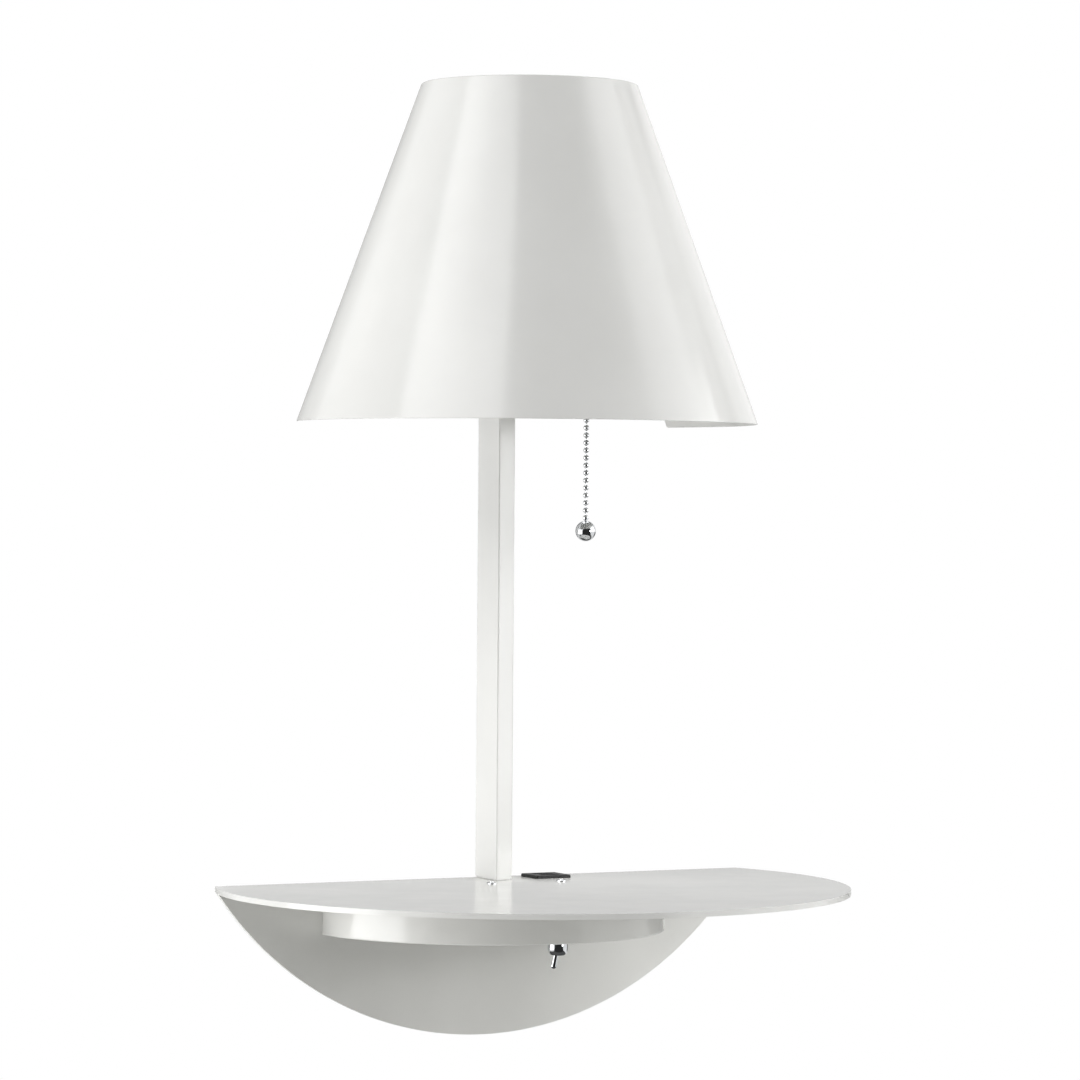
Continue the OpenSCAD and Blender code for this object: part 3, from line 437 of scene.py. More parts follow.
def wall_plate():
    """A segment of a round sheet, with its fixing holes and the hole for the supply wires."""
    drop = PLATE_HIGH.z - PLATE_LOW.z
    radius = (PLATE_HIGH.x ** 2 + drop ** 2) / (2 * drop)
    thickness = PLATE_HIGH.y - PLATE_LOW.y
    middle = Vector((0, -thickness / 2, PLATE_LOW.z + radius))
    bpy.ops.object.select_all(action="DESELECT")
    bpy.ops.mesh.primitive_cylinder_add(vertices=720, radius=radius, depth=thickness,
                                        location=middle, rotation=(math.pi / 2, 0, 0))
    piece = start("wall_plate_coated")
    bpy.ops.mesh.select_all(action="SELECT")
    bpy.ops.mesh.bisect(plane_co=(0, 0, PLATE_HIGH.z), plane_no=(0, 0, 1), use_fill=True,
                        clear_outer=True, threshold=HAIR)
    close()
    through = thickness + 2 * OVERRUN
    cut_out(piece, rod((-FIX_X, middle.y, 0), FIX_R, through, "Y"),
            rod((FIX_X, middle.y, 0), FIX_R, through, "Y"),
            rod((0, middle.y, 0), SUPPLY_R, through, "Y"),
            rod(EARTH_HOLE, EARTH_HOLE_R, through, "Y"))
    soften(piece, COAT_EDGE)
    place(piece, "wall_plate")


def shelf_plate():
    """A round sheet cut off at the wall, with the socket's cut-out and the screw holes."""
    radius = SHELF_HIGH.x
    thickness = SHELF_HIGH.z - SHELF_LOW.z
    middle = Vector((0, SHELF_LOW.y + radius, (SHELF_LOW.z + SHELF_HIGH.z) / 2))
    bpy.ops.object.select_all(action="DESELECT")
    bpy.ops.mesh.primitive_cylinder_add(vertices=720, radius=radius, depth=thickness, location=middle)
    piece = start("shelf_plate_coated")
    close()
    cut_at_wall(piece, 0)
    through = thickness + 2 * OVERRUN
    body_low, body_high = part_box("usb_body")
    gap = mm(0.1)
    opening = block("cutter", Vector((body_low.x - gap, body_low.y - gap, SHELF_LOW.z - OVERRUN)),
                    Vector((body_high.x + gap, body_high.y + gap, SHELF_HIGH.z + OVERRUN)))
    close()
    holes = [rod((p.x, p.y, middle.z), SCREW_HOLE_R, through) for p in SHELF_SCREWS]
    holes += [rod((0, y, middle.z), SCREW_HOLE_R, through) for y in FOOT_SCREWS_Y]
    holes.append(rod((0, CABLE_Y, middle.z), CABLE_HOLE_R, through))
    cut_out(piece, opening, *holes)
    soften(piece, COAT_EDGE)
    place(piece, "shelf_plate")


def housing():
    """A half-round pressed pan that hangs under the shelf."""
    radius, height = PAN_HIGH.x, PAN_HIGH.z - PAN_LOW.z
    outer = arc(radius - PAN_EDGE, PAN_EDGE, PAN_EDGE, -90, 0, 8)
    rim_r = mm(0.5)
    rim = arc(radius - rim_r, height - rim_r, rim_r, 0, 90, 3)
    inner_r = radius - PAN_WALL
    section = [(0, 0), *outer, *rim, (inner_r, height), (inner_r, PAN_WALL), (0, PAN_WALL)]
    piece = turned("housing_coated", Vector((0, PAN_HIGH.y, PAN_LOW.z)), section, 256)
    cut_at_wall(piece, PAN_HIGH.y)
    toggle_y = (NUT_LOW.y + NUT_HIGH.y) / 2
    cut_out(piece, rod((0, toggle_y, PAN_LOW.z), BUSHING_HOLE_R, mm(6)))
    place(piece, "housing_pan")


def post():
    """A rectangular tube with round corners, drilled on its front for the bracket. A fine groove
    round its foot is the joint that shows as a dark line on the shelf."""
    groove_h, groove_in = mm(0.5), mm(0.85)
    piece = block("post_coated", POST_LOW + Vector((0, 0, groove_h)), POST_HIGH)
    choose("EDGE", upright(mm(100)))
    bpy.ops.mesh.bevel(offset=POST_CORNER, segments=6, affect="EDGES")
    choose("FACE", facing_down)
    bpy.ops.mesh.inset(thickness=groove_in)
    bpy.ops.mesh.extrude_region_move(TRANSFORM_OT_translate={"value": (0, 0, -groove_h)})
    close()
    wall = Vector((POST_WALL, POST_WALL, -OVERRUN))
    bore = block("cutter", POST_LOW + wall, POST_HIGH - wall)
    close()
    front, tapped_r, drill = POST_LOW.y, mm(1.55), mm(4)
    holes = [rod((0, front, z), tapped_r, drill, "Y") for z in BRACKET_SCREWS_Z]
    holes.append(rod((0, front, CABLE_EXIT_Z), CABLE_HOLE_R, drill, "Y"))
    cut_out(piece, bore, *holes)
    place(piece, "post")


def post_cap():
    """A pressed cap with round corners, and the plug that holds it in the post."""
    piece = block("post_cap_coated", Vector((CAP_LOW.x, CAP_LOW.y, POST_HIGH.z)), CAP_HIGH)
    choose("EDGE", upright(mm(1)))
    bpy.ops.mesh.bevel(offset=POST_CORNER, segments=6, affect="EDGES")
    choose("EDGE", on_top(CAP_HIGH.z))
    bpy.ops.mesh.bevel(offset=mm(0.5), segments=3, affect="EDGES")
    close()
    fit = POST_WALL + mm(0.1)
    inset = Vector((fit, fit, 0))
    plug = block("plug", CAP_LOW + inset, Vector((CAP_HIGH.x, CAP_HIGH.y, POST_HIGH.z)) - inset)
    close()
    soften(plug, mm(0.4), 2)
    place(joined("post_cap_coated", piece, plug), "post_cap")


def shade():
    """A rolled cone of sheet steel, cut off flat at the wall, with its rims dressed round."""
    low_r, height = SHADE_HIGH.x, SHADE_HIGH.z - SHADE_LOW.z
    slope = (low_r - SHADE_TOP_R) / height
    inset = SHADE_WALL * math.hypot(1, slope)
    bead = SHADE_WALL * 0.42
    knee = bead * 0.3  # the rounding's middle point is this far in from the sharp corner
    outer_low = [(low_r - bead, 0), (low_r - knee - knee * slope, knee), (low_r - bead * slope, bead)]
    outer_top = [(SHADE_TOP_R + bead * slope, height - bead), (SHADE_TOP_R - knee, height - knee),
                 (SHADE_TOP_R - bead, height)]
    inner_top = [(SHADE_TOP_R - inset + bead, height),
                 (SHADE_TOP_R - inset + bead * slope, height - bead)]
    inner_low = [(low_r - inset - bead * slope, bead), (low_r - inset + bead, 0)]
    section = [*outer_low, *outer_top, *inner_top, *inner_low]
    piece = turned("shade_coated", Vector((0, SHADE_AXIS_Y, SHADE_LOW.z)), section, 360)
    cut_at_wall(piece, SHADE_HIGH.y)
    place(piece, "shade")


# ------------------------------------------------------------------ pull chain

BEAD_R, BEAD_WALL, BEAD_HOLE_R = mm(1.6), mm(0.25), mm(0.62)
BEAD_PITCH = mm(4.233)  # 72 beads to the foot
BEAD_COUNT = 17  # below the top bead
LINK_R, LINK_HEAD = mm(0.5), mm(0.15)


def bead(name, middle):
    """A hollow bead pressed from strip: a ball with a turned-in hole at top and bottom."""
    open_at = math.degrees(math.asin(BEAD_HOLE_R / BEAD_R))
    outer = arc(0, 0, BEAD_R, -90 + open_at, 90 - open_at, 16)
    inner = arc(0, 0, BEAD_R - BEAD_WALL, 90 - open_at, -90 + open_at, 6)
    return turned(name, middle, [*outer, *inner], 32)


def link(name, middle, length):
    """The wire between two beads, with its ends rounded off inside them."""
    half = length / 2
    end_r = LINK_R * 0.8
    section = [(0, -half), (end_r, -half), (LINK_R, -half + LINK_HEAD), (LINK_R, half - LINK_HEAD),
               (end_r, half), (0, half)]
    return turned(name, middle, section, 16)


def chain():
    """The bead chain, from the first hinged bead down to the ball."""
    top = (TOP_BEAD_LOW + TOP_BEAD_HIGH) / 2
    place(bead("top_bead_chromed", top), "chain_top_bead", even=False)
    steps = [Vector((0, 0, -i * BEAD_PITCH)) for i in range(1, BEAD_COUNT + 1)]
    beads = copies(bead("bead", top), "beads", steps)
    half_way = Vector((0, 0, -BEAD_PITCH / 2))
    reach = mm(0.4)  # how far a link reaches into each of its beads
    spacer = link("link", top + half_way, BEAD_PITCH - 2 * (BEAD_R - reach))
    links = copies(spacer, "links", steps[:-1])
    short = (BEAD_PITCH - 2 * BEAD_R) / 2
    first = link("first_link", Vector((top.x, top.y, CHAIN_TOP - short)), 2 * short)
    last_low = BALL_HIGH.z - mm(1)
    last_high = top.z - BEAD_COUNT * BEAD_PITCH - BEAD_R + mm(0.3)
    last = link("last_link", Vector((top.x, top.y, (last_low + last_high) / 2)), last_high - last_low)
    place(joined("pull_chain_chromed", beads, links, first, last), "pull_chain", even=False)


def pull_ball():
    """The polished ball at the chain's end, drilled and dished for the last link."""
    radius = (BALL_HIGH.x - BALL_LOW.x) / 2
    hole_r, dish, hole_h = mm(0.75), mm(0.25), mm(4)
    open_at = math.degrees(math.asin((hole_r + dish) / radius))
    outer = arc(0, 0, radius, -90, 90 - open_at, 40)
    top = outer[-1][1]
    section = [(0, -radius), *outer[1:], (hole_r, top - dish), (hole_r, top - hole_h),
               (0, top - hole_h)]
    ball = turned("pull_ball_chromed", (BALL_LOW + BALL_HIGH) / 2, section, 64)
    place(ball, "pull_ball", even=False)


# ------------------------------------------------------------------ screws, nuts and threads

def threaded(name, at, radius, depth, pitch, height, steps=40):
    """A bar with a real helical thread, from its foot at a point up to height."""
    turns = math.ceil(height / pitch) + 2
    # One thread's outline: how far from the crest, and at what part of the pitch
    tooth = [(-depth, 0), (-depth, 0.15), (0, 0.45), (0, 0.55), (-depth, 0.85), (-depth, 1)]
    bpy.ops.object.select_all(action="DESELECT")
    bpy.ops.mesh.primitive_plane_add(size=mm(1), location=(0, 0, 0))
    piece = start(name)
    bpy.ops.mesh.merge(type="CENTER")
    bpy.ops.transform.translate(value=(radius + tooth[0][0], 0, -pitch))
    for (r0, z0), (r1, z1) in zip(tooth, tooth[1:]):
        bpy.ops.mesh.extrude_region_move(
            TRANSFORM_OT_translate={"value": (r1 - r0, 0, (z1 - z0) * pitch)})
    close()
    applied(piece, "SCREW", axis="Z", angle=2 * math.pi, screw_offset=pitch, iterations=turns,
            steps=steps, render_steps=steps)
    bpy.ops.object.mode_set(mode="EDIT")
    bpy.ops.mesh.select_all(action="SELECT")
    bpy.ops.mesh.remove_doubles(threshold=FINE)
    for level, way in ((0, -1), (height, 1)):
        bpy.ops.mesh.select_all(action="SELECT")
        bpy.ops.mesh.bisect(plane_co=(0, 0, level), plane_no=(0, 0, way), use_fill=True,
                            clear_outer=True, threshold=HAIR)
    bpy.ops.mesh.select_all(action="SELECT")
    bpy.ops.mesh.remove_doubles(threshold=FINE)
    bpy.ops.mesh.normals_make_consistent(inside=False)
    bpy.ops.transform.translate(value=at)
    close()
    return piece


def pan_head_screw(name, at, shank, toward="Z", thread_r=mm(1.5), head_r=mm(2.8), head_h=mm(1.9),
                   edge_h=mm(0.8)):
    """A pan-head screw with a cross recess, undercut at its foot, its head's underside at a point."""
    dome = [(head_r * math.cos(a), edge_h + (head_h - edge_h) * math.sin(a))
            for a in (math.radians(10 * i) for i in range(10))]
    point, foot_r, foot_h = mm(0.4), head_r - mm(0.4), mm(0.3)
    section = [(0, -shank), (thread_r - point, -shank), (thread_r, point - shank), (thread_r, 0),
               (foot_r, 0), (foot_r, foot_h), (head_r, foot_h), *dome[:-1], (0, head_h)]
    piece = turned(name, Vector((0, 0, 0)), section, 64)
    arm, width, depth, taper = head_r * 0.56, mm(0.85), mm(1.25), 0.55
    for half_x, half_y in ((arm, width / 2), (width / 2, arm)):
        slot = block("cutter", Vector((-half_x, -half_y, head_h - depth)),
                     Vector((half_x, half_y, head_h + OVERRUN)))
        choose("FACE", facing_down)
        bpy.ops.transform.resize(value=(taper, taper, 1), center_override=(0, 0, 0))
        close()
        cut_out(piece, slot)
    turn = {"Z": Matrix(), "-Y": Matrix.Rotation(math.pi / 2, 4, "X")}[toward]
    piece.data.transform(Matrix.Translation(at) @ turn)
    return piece


def hex_nut(name, at, flats, bore_r, height):
    """A hexagonal nut with chamfered corners, its lower face at a point."""
    corner = flats / math.sqrt(3)
    bpy.ops.object.select_all(action="DESELECT")
    bpy.ops.mesh.primitive_cylinder_add(vertices=6, radius=corner, depth=height,
                                        location=at + Vector((0, 0, height / 2)),
                                        rotation=(0, 0, math.pi / 6))
    piece = start(name)
    close()
    face_r = flats / 2 * 0.96  # where the chamfer starts on the nut's two faces
    cone = (corner - face_r) * math.tan(math.radians(30))
    lens = turned("cutter", at, [(0, 0), (face_r, 0), (corner, cone), (corner, height - cone),
                                 (face_r, height), (0, height)], 72)
    combined(piece, "INTERSECT", lens)
    cut_out(piece, rod(at + Vector((0, 0, height / 2)), bore_r, height + 2 * OVERRUN))
    return piece


def shelf_screws():
    """The two low screws that hold the housing, bright like the switch's nut."""
    made = [pan_head_screw("screw", p, mm(12), head_h=mm(1.3), edge_h=mm(0.35))
            for p in SHELF_SCREWS]
    place(joined("shelf_screws_driven", *made), "shelf_screws", finish="chrome", even=False)


def bracket_screws():
    """The two screws that hold the lamp's bracket on the post."""
    tab_front = mm(-28)
    made = [pan_head_screw("screw", Vector((0, tab_front, z)), mm(8), "-Y") for z in BRACKET_SCREWS_Z]
    place(joined("bracket_screws_driven", *made), "bracket_screws", even=False)


# ------------------------------------------------------------------ charging socket

def usb_flange():
    """The socket's moulded flange: round corners, a chamfered edge and two port openings."""
    piece = block("usb_flange_moulded", FLANGE_LOW, FLANGE_HIGH)
    choose("EDGE", upright(mm(1)))
    bpy.ops.mesh.bevel(offset=mm(0.9), segments=6, affect="EDGES")
    choose("EDGE", on_top(FLANGE_HIGH.z))
    bpy.ops.mesh.bevel(offset=mm(0.6), segments=2, affect="EDGES")
    close()
    for low, high in PORTS:
        opening = block("cutter", Vector((low.x, low.y, FLANGE_LOW.z - OVERRUN)),
                        Vector((high.x, high.y, FLANGE_HIGH.z + OVERRUN)))
        close()
        cut_out(piece, opening)
    soften(piece, mm(0.15), 2)
    place(piece, "usb_flange")


def usb_shells():
    """The ports' drawn steel shells, round at their corners."""
    made = []
    shells_low, shells_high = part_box("usb_shells")
    wall, foot, top = mm(0.3), shells_low.z, shells_high.z
    for low, high in PORTS:
        shell = block("shell", Vector((low.x - wall, low.y - wall, foot)),
                      Vector((high.x + wall, high.y + wall, top)))
        choose("EDGE", upright(mm(5)))
        bpy.ops.mesh.bevel(offset=wall, segments=3, affect="EDGES")
        close()
        bore = block("cutter", Vector((low.x, low.y, foot - OVERRUN)),
                     Vector((high.x, high.y, top + OVERRUN)))
        close()
        cut_out(shell, bore)
        made.append(shell)
    place(joined("usb_shells_drawn", *made), "usb_shells")


def usb_tongues():
    """The ports' white tongues, each with four gilt contacts on its open side."""
    low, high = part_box("usb_tongues")
    tongues, contacts = [], []
    thick, width, pitch, top = mm(1.9), mm(1.05), mm(2.4), high.z
    sunk, proud = mm(0.02), mm(0.12)  # how far a contact lies in the tongue and stands out of it
    for port_low, _ in PORTS:
        y = port_low.y + mm(0.6)
        tongue = block("tongue", Vector((low.x, y, low.z)), Vector((high.x, y + thick, top)))
        choose("EDGE", on_top(top))
        bpy.ops.mesh.bevel(offset=mm(0.35), segments=3, affect="EDGES")
        close()
        tongues.append(tongue)
        for i in (-1.5, -0.5, 0.5, 1.5):
            x = (low.x + high.x) / 2 + i * pitch
            strip = block("contact", Vector((x - width / 2, y + thick - sunk, low.z + mm(1))),
                          Vector((x + width / 2, y + thick + proud, top - mm(0.9))))
            close()
            contacts.append(soften(strip, mm(0.05), 1))
    place(joined("usb_tongues_moulded", *tongues), "usb_tongues")
    strips = joined("usb_contacts", *contacts)
    only(strips)
    bpy.ops.object.shade_smooth_by_angle(angle=math.radians(35))
    strips.data.materials.append(FINISHES["brass"])
    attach(strips, "lamp")


# ------------------------------------------------------------------ toggle switch

def toggle_nut():
    """The domed dress nut, plated and polished, with its threaded bore."""
    nut_r, mouth_r, bore_r = (NUT_HIGH.x - NUT_LOW.x) / 2, mm(2.9), mm(3.2)
    height, bore_h, rim, edge = NUT_HIGH.z - NUT_LOW.z, mm(5.1), mm(0.3), mm(0.25)
    flat_r, dome_h, chamfer = mouth_r + rim, mm(4.2), mm(0.1)
    dome = [(flat_r + (nut_r - flat_r) * r, dome_h * (1 + z)) for r, z in arc(0, 0, 1, -90, 0, 16)]
    section = [(mouth_r + chamfer, 0), *dome,
               *arc(nut_r - edge, height - edge, edge, 0, 90, 3), (bore_r, height),
               (bore_r, height - bore_h), (mouth_r, height - bore_h), (mouth_r, chamfer)]
    at = Vector((0, (NUT_LOW.y + NUT_HIGH.y) / 2, NUT_LOW.z))
    nut = turned("toggle_nut_chromed", at, section, 96)
    place(nut, "toggle_nut", even=False)


def toggle_bushing():
    """The switch's threaded neck, bored for the lever."""
    low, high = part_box("toggle_bushing")
    at = Vector((0, (low.y + high.y) / 2, low.z))
    piece = threaded("toggle_bushing_cut", at, mm(3.15), mm(0.3), mm(0.64), high.z - low.z)
    cut_out(piece, rod(at + Vector((0, 0, mm(3))), mm(2.1), mm(20)))
    place(piece, "toggle_bushing", even=False)


def toggle_lever():
    """The bat lever: a slim neck that swells to a round tip, on its ball, leaning as it is thrown."""
    tip_r, neck_r, ball_r, tail_r = mm(1.6), mm(1.4), mm(1.95), mm(0.8)
    length, tail_h, edge = mm(13), mm(2.5), mm(0.2)
    pivot, throw = spot(0, -91, -14), 12.5
    neck_at = -math.degrees(math.acos(neck_r / ball_r))
    tail_at = math.degrees(math.acos(tail_r / ball_r))
    section = [(0, -length), *arc(0, tip_r - length, tip_r, -90, 0, 10)[1:],
               *arc(0, 0, ball_r, neck_at, tail_at, 14), (tail_r, tail_h - edge),
               (tail_r - edge, tail_h), (0, tail_h)]
    piece = turned("toggle_lever_chromed", Vector((0, 0, 0)), section, 48)
    lean = Matrix.Rotation(math.radians(throw), 4, "Y")
    piece.data.transform(Matrix.Translation(pivot) @ lean)
    place(piece, "toggle_lever", even=False)


# ------------------------------------------------------------------ bracket, lampholder, fitter

BRACKET_LOW, BRACKET_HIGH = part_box("lamp_bracket")
SHEET = mm(2)
NIPPLE_HOLE_R = mm(5.05)


def lamp_bracket():
    """One bent sheet: a plate under the lampholder, an ear for the pull switch, a tab on the post."""
    top, half = BRACKET_HIGH.z, POST_HIGH.x
    bend = mm(3.5)
    bend_y, bend_z = POST_LOW.y - bend, top - bend
    piece = block("lamp_bracket_coated", Vector((-half, LAMP_Y, top - SHEET)),
                  Vector((half, bend_y, top)))
    choose("FACE", lambda f: f.normal.y > 0.9)
    bpy.ops.mesh.spin(steps=8, angle=math.pi / 2, center=(0, bend_y, bend_z), axis=(1, 0, 0))
    choose("FACE", lambda f: abs(f.normal.z) > 0.9 and abs(f.calc_center_median().z - bend_z) < FINE)
    bpy.ops.mesh.extrude_region_move(TRANSFORM_OT_translate={"value": (0, 0, BRACKET_LOW.z - bend_z)})
    close()
    level, plate_r, ear_r = top - SHEET / 2, mm(15), mm(9)
    ear = block("ear", Vector((0, LAMP_Y - ear_r, top - SHEET)), Vector((PULL_X, LAMP_Y + ear_r, top)))
    close()
    combined(piece, "UNION", rod((LAMP_X, LAMP_Y, level), plate_r, SHEET, sides=128), ear,
             rod((PULL_X, LAMP_Y, level), ear_r, SHEET, sides=96))
    through, barrel_hole_r = SHEET + 2 * OVERRUN, mm(4.9)
    tab_y = POST_LOW.y - SHEET / 2
    cut_out(piece, rod((LAMP_X, LAMP_Y, level), NIPPLE_HOLE_R, through),
            rod((PULL_X, LAMP_Y, level), barrel_hole_r, through),
            *[rod((0, tab_y, z), SCREW_HOLE_R, through, "Y") for z in BRACKET_SCREWS_Z],
            rod((0, tab_y, CABLE_EXIT_Z), CABLE_HOLE_R, through, "Y"))
    soften(piece, mm(0.3), 2)
    place(piece, "lamp_bracket")


def quarter_turn(y, z, way):
    """Carries the chosen end a quarter turn round the level line at y and z, by way 1 or -1."""
    bpy.ops.mesh.spin(steps=10, angle=math.pi / 2, center=(0, y, z), axis=(way, 0, 0))


def straight_on(up, out=0.0):
    """Carries the chosen end straight on, up or along Y."""
    bpy.ops.mesh.extrude_region_move(TRANSFORM_OT_translate={"value": (0, out, up)})


def lamp_cable():
    """The sheathed cable: along under the shelf, up the post, out of it and up into the holder."""
    low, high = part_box("lamp_cable")
    radius, post_y = high.x, (POST_LOW.y + POST_HIGH.y) / 2
    level = low.z + radius
    bpy.ops.object.select_all(action="DESELECT")
    bpy.ops.mesh.primitive_circle_add(vertices=32, radius=radius, fill_type="NGON",
                                      location=(0, low.y, level), rotation=(math.pi / 2, 0, 0))
    piece = start("lamp_cable_sheathed")
    bpy.ops.mesh.select_all(action="SELECT")
    back, ahead = post_y - CABLE_BEND, LAMP_Y + CABLE_BEND
    straight_on(0, back - low.y)
    quarter_turn(back, level + CABLE_BEND, -1)
    straight_on(CABLE_EXIT_Z - 2 * CABLE_BEND - level)
    quarter_turn(back, CABLE_EXIT_Z - CABLE_BEND, -1)
    straight_on(0, ahead - back)
    quarter_turn(ahead, CABLE_EXIT_Z + CABLE_BEND, 1)
    straight_on(high.z - CABLE_EXIT_Z - CABLE_BEND)
    bpy.ops.mesh.select_all(action="SELECT")
    bpy.ops.mesh.normals_make_consistent(inside=False)
    close()
    place(piece, "lamp_cable")


def tube_from(name, at, radius, bore_r, height, pitch, depth):
    """A threaded tube in its node's place."""
    piece = threaded(name, at, radius, depth, pitch, height)
    cut_out(piece, rod(at + Vector((0, 0, height / 2)), bore_r, height + 2 * OVERRUN))
    return piece


def holder_nipple():
    """The threaded tube that the lampholder stands on."""
    low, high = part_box("holder_nipple")
    at = Vector((LAMP_X, LAMP_Y, low.z))
    place(tube_from("holder_nipple_cut", at, mm(4.85), mm(3.6), high.z - low.z, mm(1), mm(0.45)),
          "holder_nipple", even=False)


def nipple_nuts():
    """The tube's two nuts, one on each side of the bracket."""
    flats, bore_r, thick = mm(14), mm(4.9), mm(3)
    made = [hex_nut("nut", Vector((LAMP_X, LAMP_Y, mm(z))), flats, bore_r, thick) for z in (308, 315)]
    place(joined("nipple_nuts_plated", *made), "nipple_nuts")


def holder_cup():
    """The lampholder's moulded cup, round at its foot."""
    low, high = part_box("holder_cup")
    foot_r, top_r, wall, round_h = mm(12), high.x, mm(2), mm(12)
    height, edge = high.z - low.z, mm(0.3)
    quarter = [math.radians(a) for a in range(0, 91, 6)]
    outer = [(foot_r + (top_r - foot_r) * math.sin(a), round_h * (1 - math.cos(a))) for a in quarter]
    inner = [(r - wall, z + wall) for r, z in reversed(outer)]
    section = [(NIPPLE_HOLE_R, 0), *outer, (top_r, height - edge), (top_r - edge, height),
               (top_r - wall, height), *inner, (NIPPLE_HOLE_R, wall)]
    place(turned("holder_cup_moulded", Vector((LAMP_X, LAMP_Y, low.z)), section, 128), "holder_cup")


def holder_sleeve():
    """The holder's shoulder and threaded sleeve, bored for the lamp."""
    low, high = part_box("holder_sleeve")
    shoulder_r, shoulder_h, edge = high.x, mm(10), mm(0.4)
    at = Vector((LAMP_X, LAMP_Y, low.z))
    shoulder = turned("holder_sleeve_moulded", at, [
        (0, 0), (shoulder_r - edge, 0), (shoulder_r, edge), (shoulder_r, shoulder_h - edge),
        (shoulder_r - edge, shoulder_h), (0, shoulder_h)], 128)
    thread_r, thread_depth, pitch = mm(19), mm(0.8), mm(2.8)
    sleeve = threaded("sleeve", at + Vector((0, 0, shoulder_h / 2)), thread_r, thread_depth, pitch,
                      high.z - low.z - shoulder_h / 2, 96)
    combined(shoulder, "UNION", sleeve)
    floor_h, bore_r, drill = mm(3), mm(15), mm(50)
    cut_out(shoulder, rod(at + Vector((0, 0, floor_h + drill / 2)), bore_r, drill, sides=128))
    place(shoulder, "holder_sleeve")


def clamping_ring():
    """The ring that clamps the fitter, notched all round for the fingers."""
    low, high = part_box("clamping_ring")
    radius, bore_r, height = mm(25), mm(19.05), high.z - low.z
    edge, foot_edge = mm(0.6), mm(0.3)
    at = Vector((LAMP_X, LAMP_Y, low.z))
    ring = turned("clamping_ring_moulded", at, [
        (bore_r, 0), (radius - foot_edge, 0), (radius, foot_edge), (radius, height - edge),
        (radius - edge, height), (bore_r + edge, height), (bore_r, height - edge)], 144)
    notches, count, notch_r = [], 12, mm(1.6)
    for i in range(count):
        turn = 2 * math.pi * i / count
        middle = at + Vector((radius * math.cos(turn), radius * math.sin(turn), height / 2))
        notches.append(rod(middle, notch_r, height + 2 * OVERRUN, sides=32))
    cut_out(ring, joined("cutter", *notches))
    soften(ring, mm(0.15), 2, 40)
    place(ring, "clamping_ring")


def softened_copy(name, node, width):
    """A copy of a CAD piece, its faces merged and its edges rounded as the tool leaves them."""
    original = frame["nodes"][node]
    piece = original.copy()
    piece.data = original.data.copy()
    piece.name = piece.data.name = name
    piece.parent = None
    for key in list(piece.keys()):
        del piece[key]
    bpy.context.scene.collection.objects.link(piece)
    only(piece)
    bpy.ops.object.mode_set(mode="EDIT")
    bpy.ops.mesh.select_all(action="SELECT")
    bpy.ops.mesh.remove_doubles(threshold=FINE)
    bpy.ops.mesh.dissolve_limited(angle_limit=math.radians(1))
    close()
    soften(piece, width, 2, 40)
    return place(piece, node)


# ------------------------------------------------------------------ lamp and pull switch

BULB_LOW = mm(333.35)


def bulb():
    """The lamp's housing, which swells from its neck, and its opal cover."""
    at = Vector((LAMP_X, LAMP_Y, BULB_LOW))
    neck_r, neck_top, top_r, top, foot = mm(14), mm(33.65), mm(24.72), mm(61), mm(25)
    edge = mm(0.3)
    swell_h = top - edge - neck_top
    swell = [(neck_r + (top_r - neck_r) * math.sin(a), neck_top + swell_h * a * 2 / math.pi)
             for a in (math.radians(3 * i) for i in range(31))]
    section = [(0, foot), (neck_r - edge, foot), (neck_r, foot + edge), *swell,
               (top_r - edge, top), (0, top)]
    place(turned("bulb_collar_moulded", at, section, 128), "bulb_collar")
    radius, middle, wall, seam = mm(30), mm(78), mm(1.6), mm(0.25)
    open_at = math.degrees(math.asin((top - middle) / radius))
    inner_at = math.degrees(math.asin((top - middle) / (radius - wall)))
    outer = arc(0, middle, radius, open_at + 0.8, 90, 40)
    outer[0] = (outer[0][0], top + seam)
    section = [*outer, *arc(0, middle, radius - wall, 90, inner_at, 30)]
    place(turned("bulb_dome_blown", at, section, 128), "bulb_dome", even=False)


def pull_switch():
    """The pull switch's two-part case, with the seam where its lid snaps on."""
    low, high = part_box("pull_switch")
    radius, height, wall, hole, edge = mm(10.5), high.z - low.z, mm(2), mm(2.2), mm(0.8)
    seam, seam_r, inner_r = height * 0.68, radius - mm(0.3), radius - wall
    section = [(hole, 0), *arc(radius - edge, edge, edge, -90, 0, 4), (radius, seam),
               (seam_r, seam + mm(0.1)), (seam_r, seam + mm(0.4)), (radius, seam + mm(0.5)),
               *arc(radius - edge, height - edge, edge, 0, 90, 4), (0, height), (0, height - wall),
               (inner_r, height - wall), (inner_r, wall), (hole, wall)]
    place(turned("pull_switch_moulded", Vector((PULL_X, LAMP_Y, low.z)), section, 96), "pull_switch")


def switch_barrel():
    """The pull switch's threaded barrel, flared at its mouth for the chain."""
    low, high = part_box("switch_barrel")
    at = Vector((PULL_X, LAMP_Y, low.z))
    bore_r, flare_r, flare_h, below = mm(2.2), mm(3.76), mm(2.4), mm(0.4)
    piece = tube_from("switch_barrel_cut", at, mm(4.7), bore_r, high.z - low.z, mm(1), mm(0.4))
    bpy.ops.object.select_all(action="DESELECT")
    bpy.ops.mesh.primitive_cone_add(vertices=64, radius1=flare_r, radius2=bore_r, depth=flare_h,
                                    location=at + Vector((0, 0, flare_h / 2 - below)))
    flare = start("cutter")
    close()
    cut_out(piece, flare)
    place(piece, "switch_barrel", even=False)


def barrel_nut():
    """The barrel's nut, under the bracket's ear."""
    low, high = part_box("barrel_nut")
    flats, bore_r = mm(13), mm(4.75)
    nut = hex_nut("barrel_nut_plated", Vector((PULL_X, LAMP_Y, low.z)), flats, bore_r, high.z - low.z)
    place(nut, "barrel_nut")


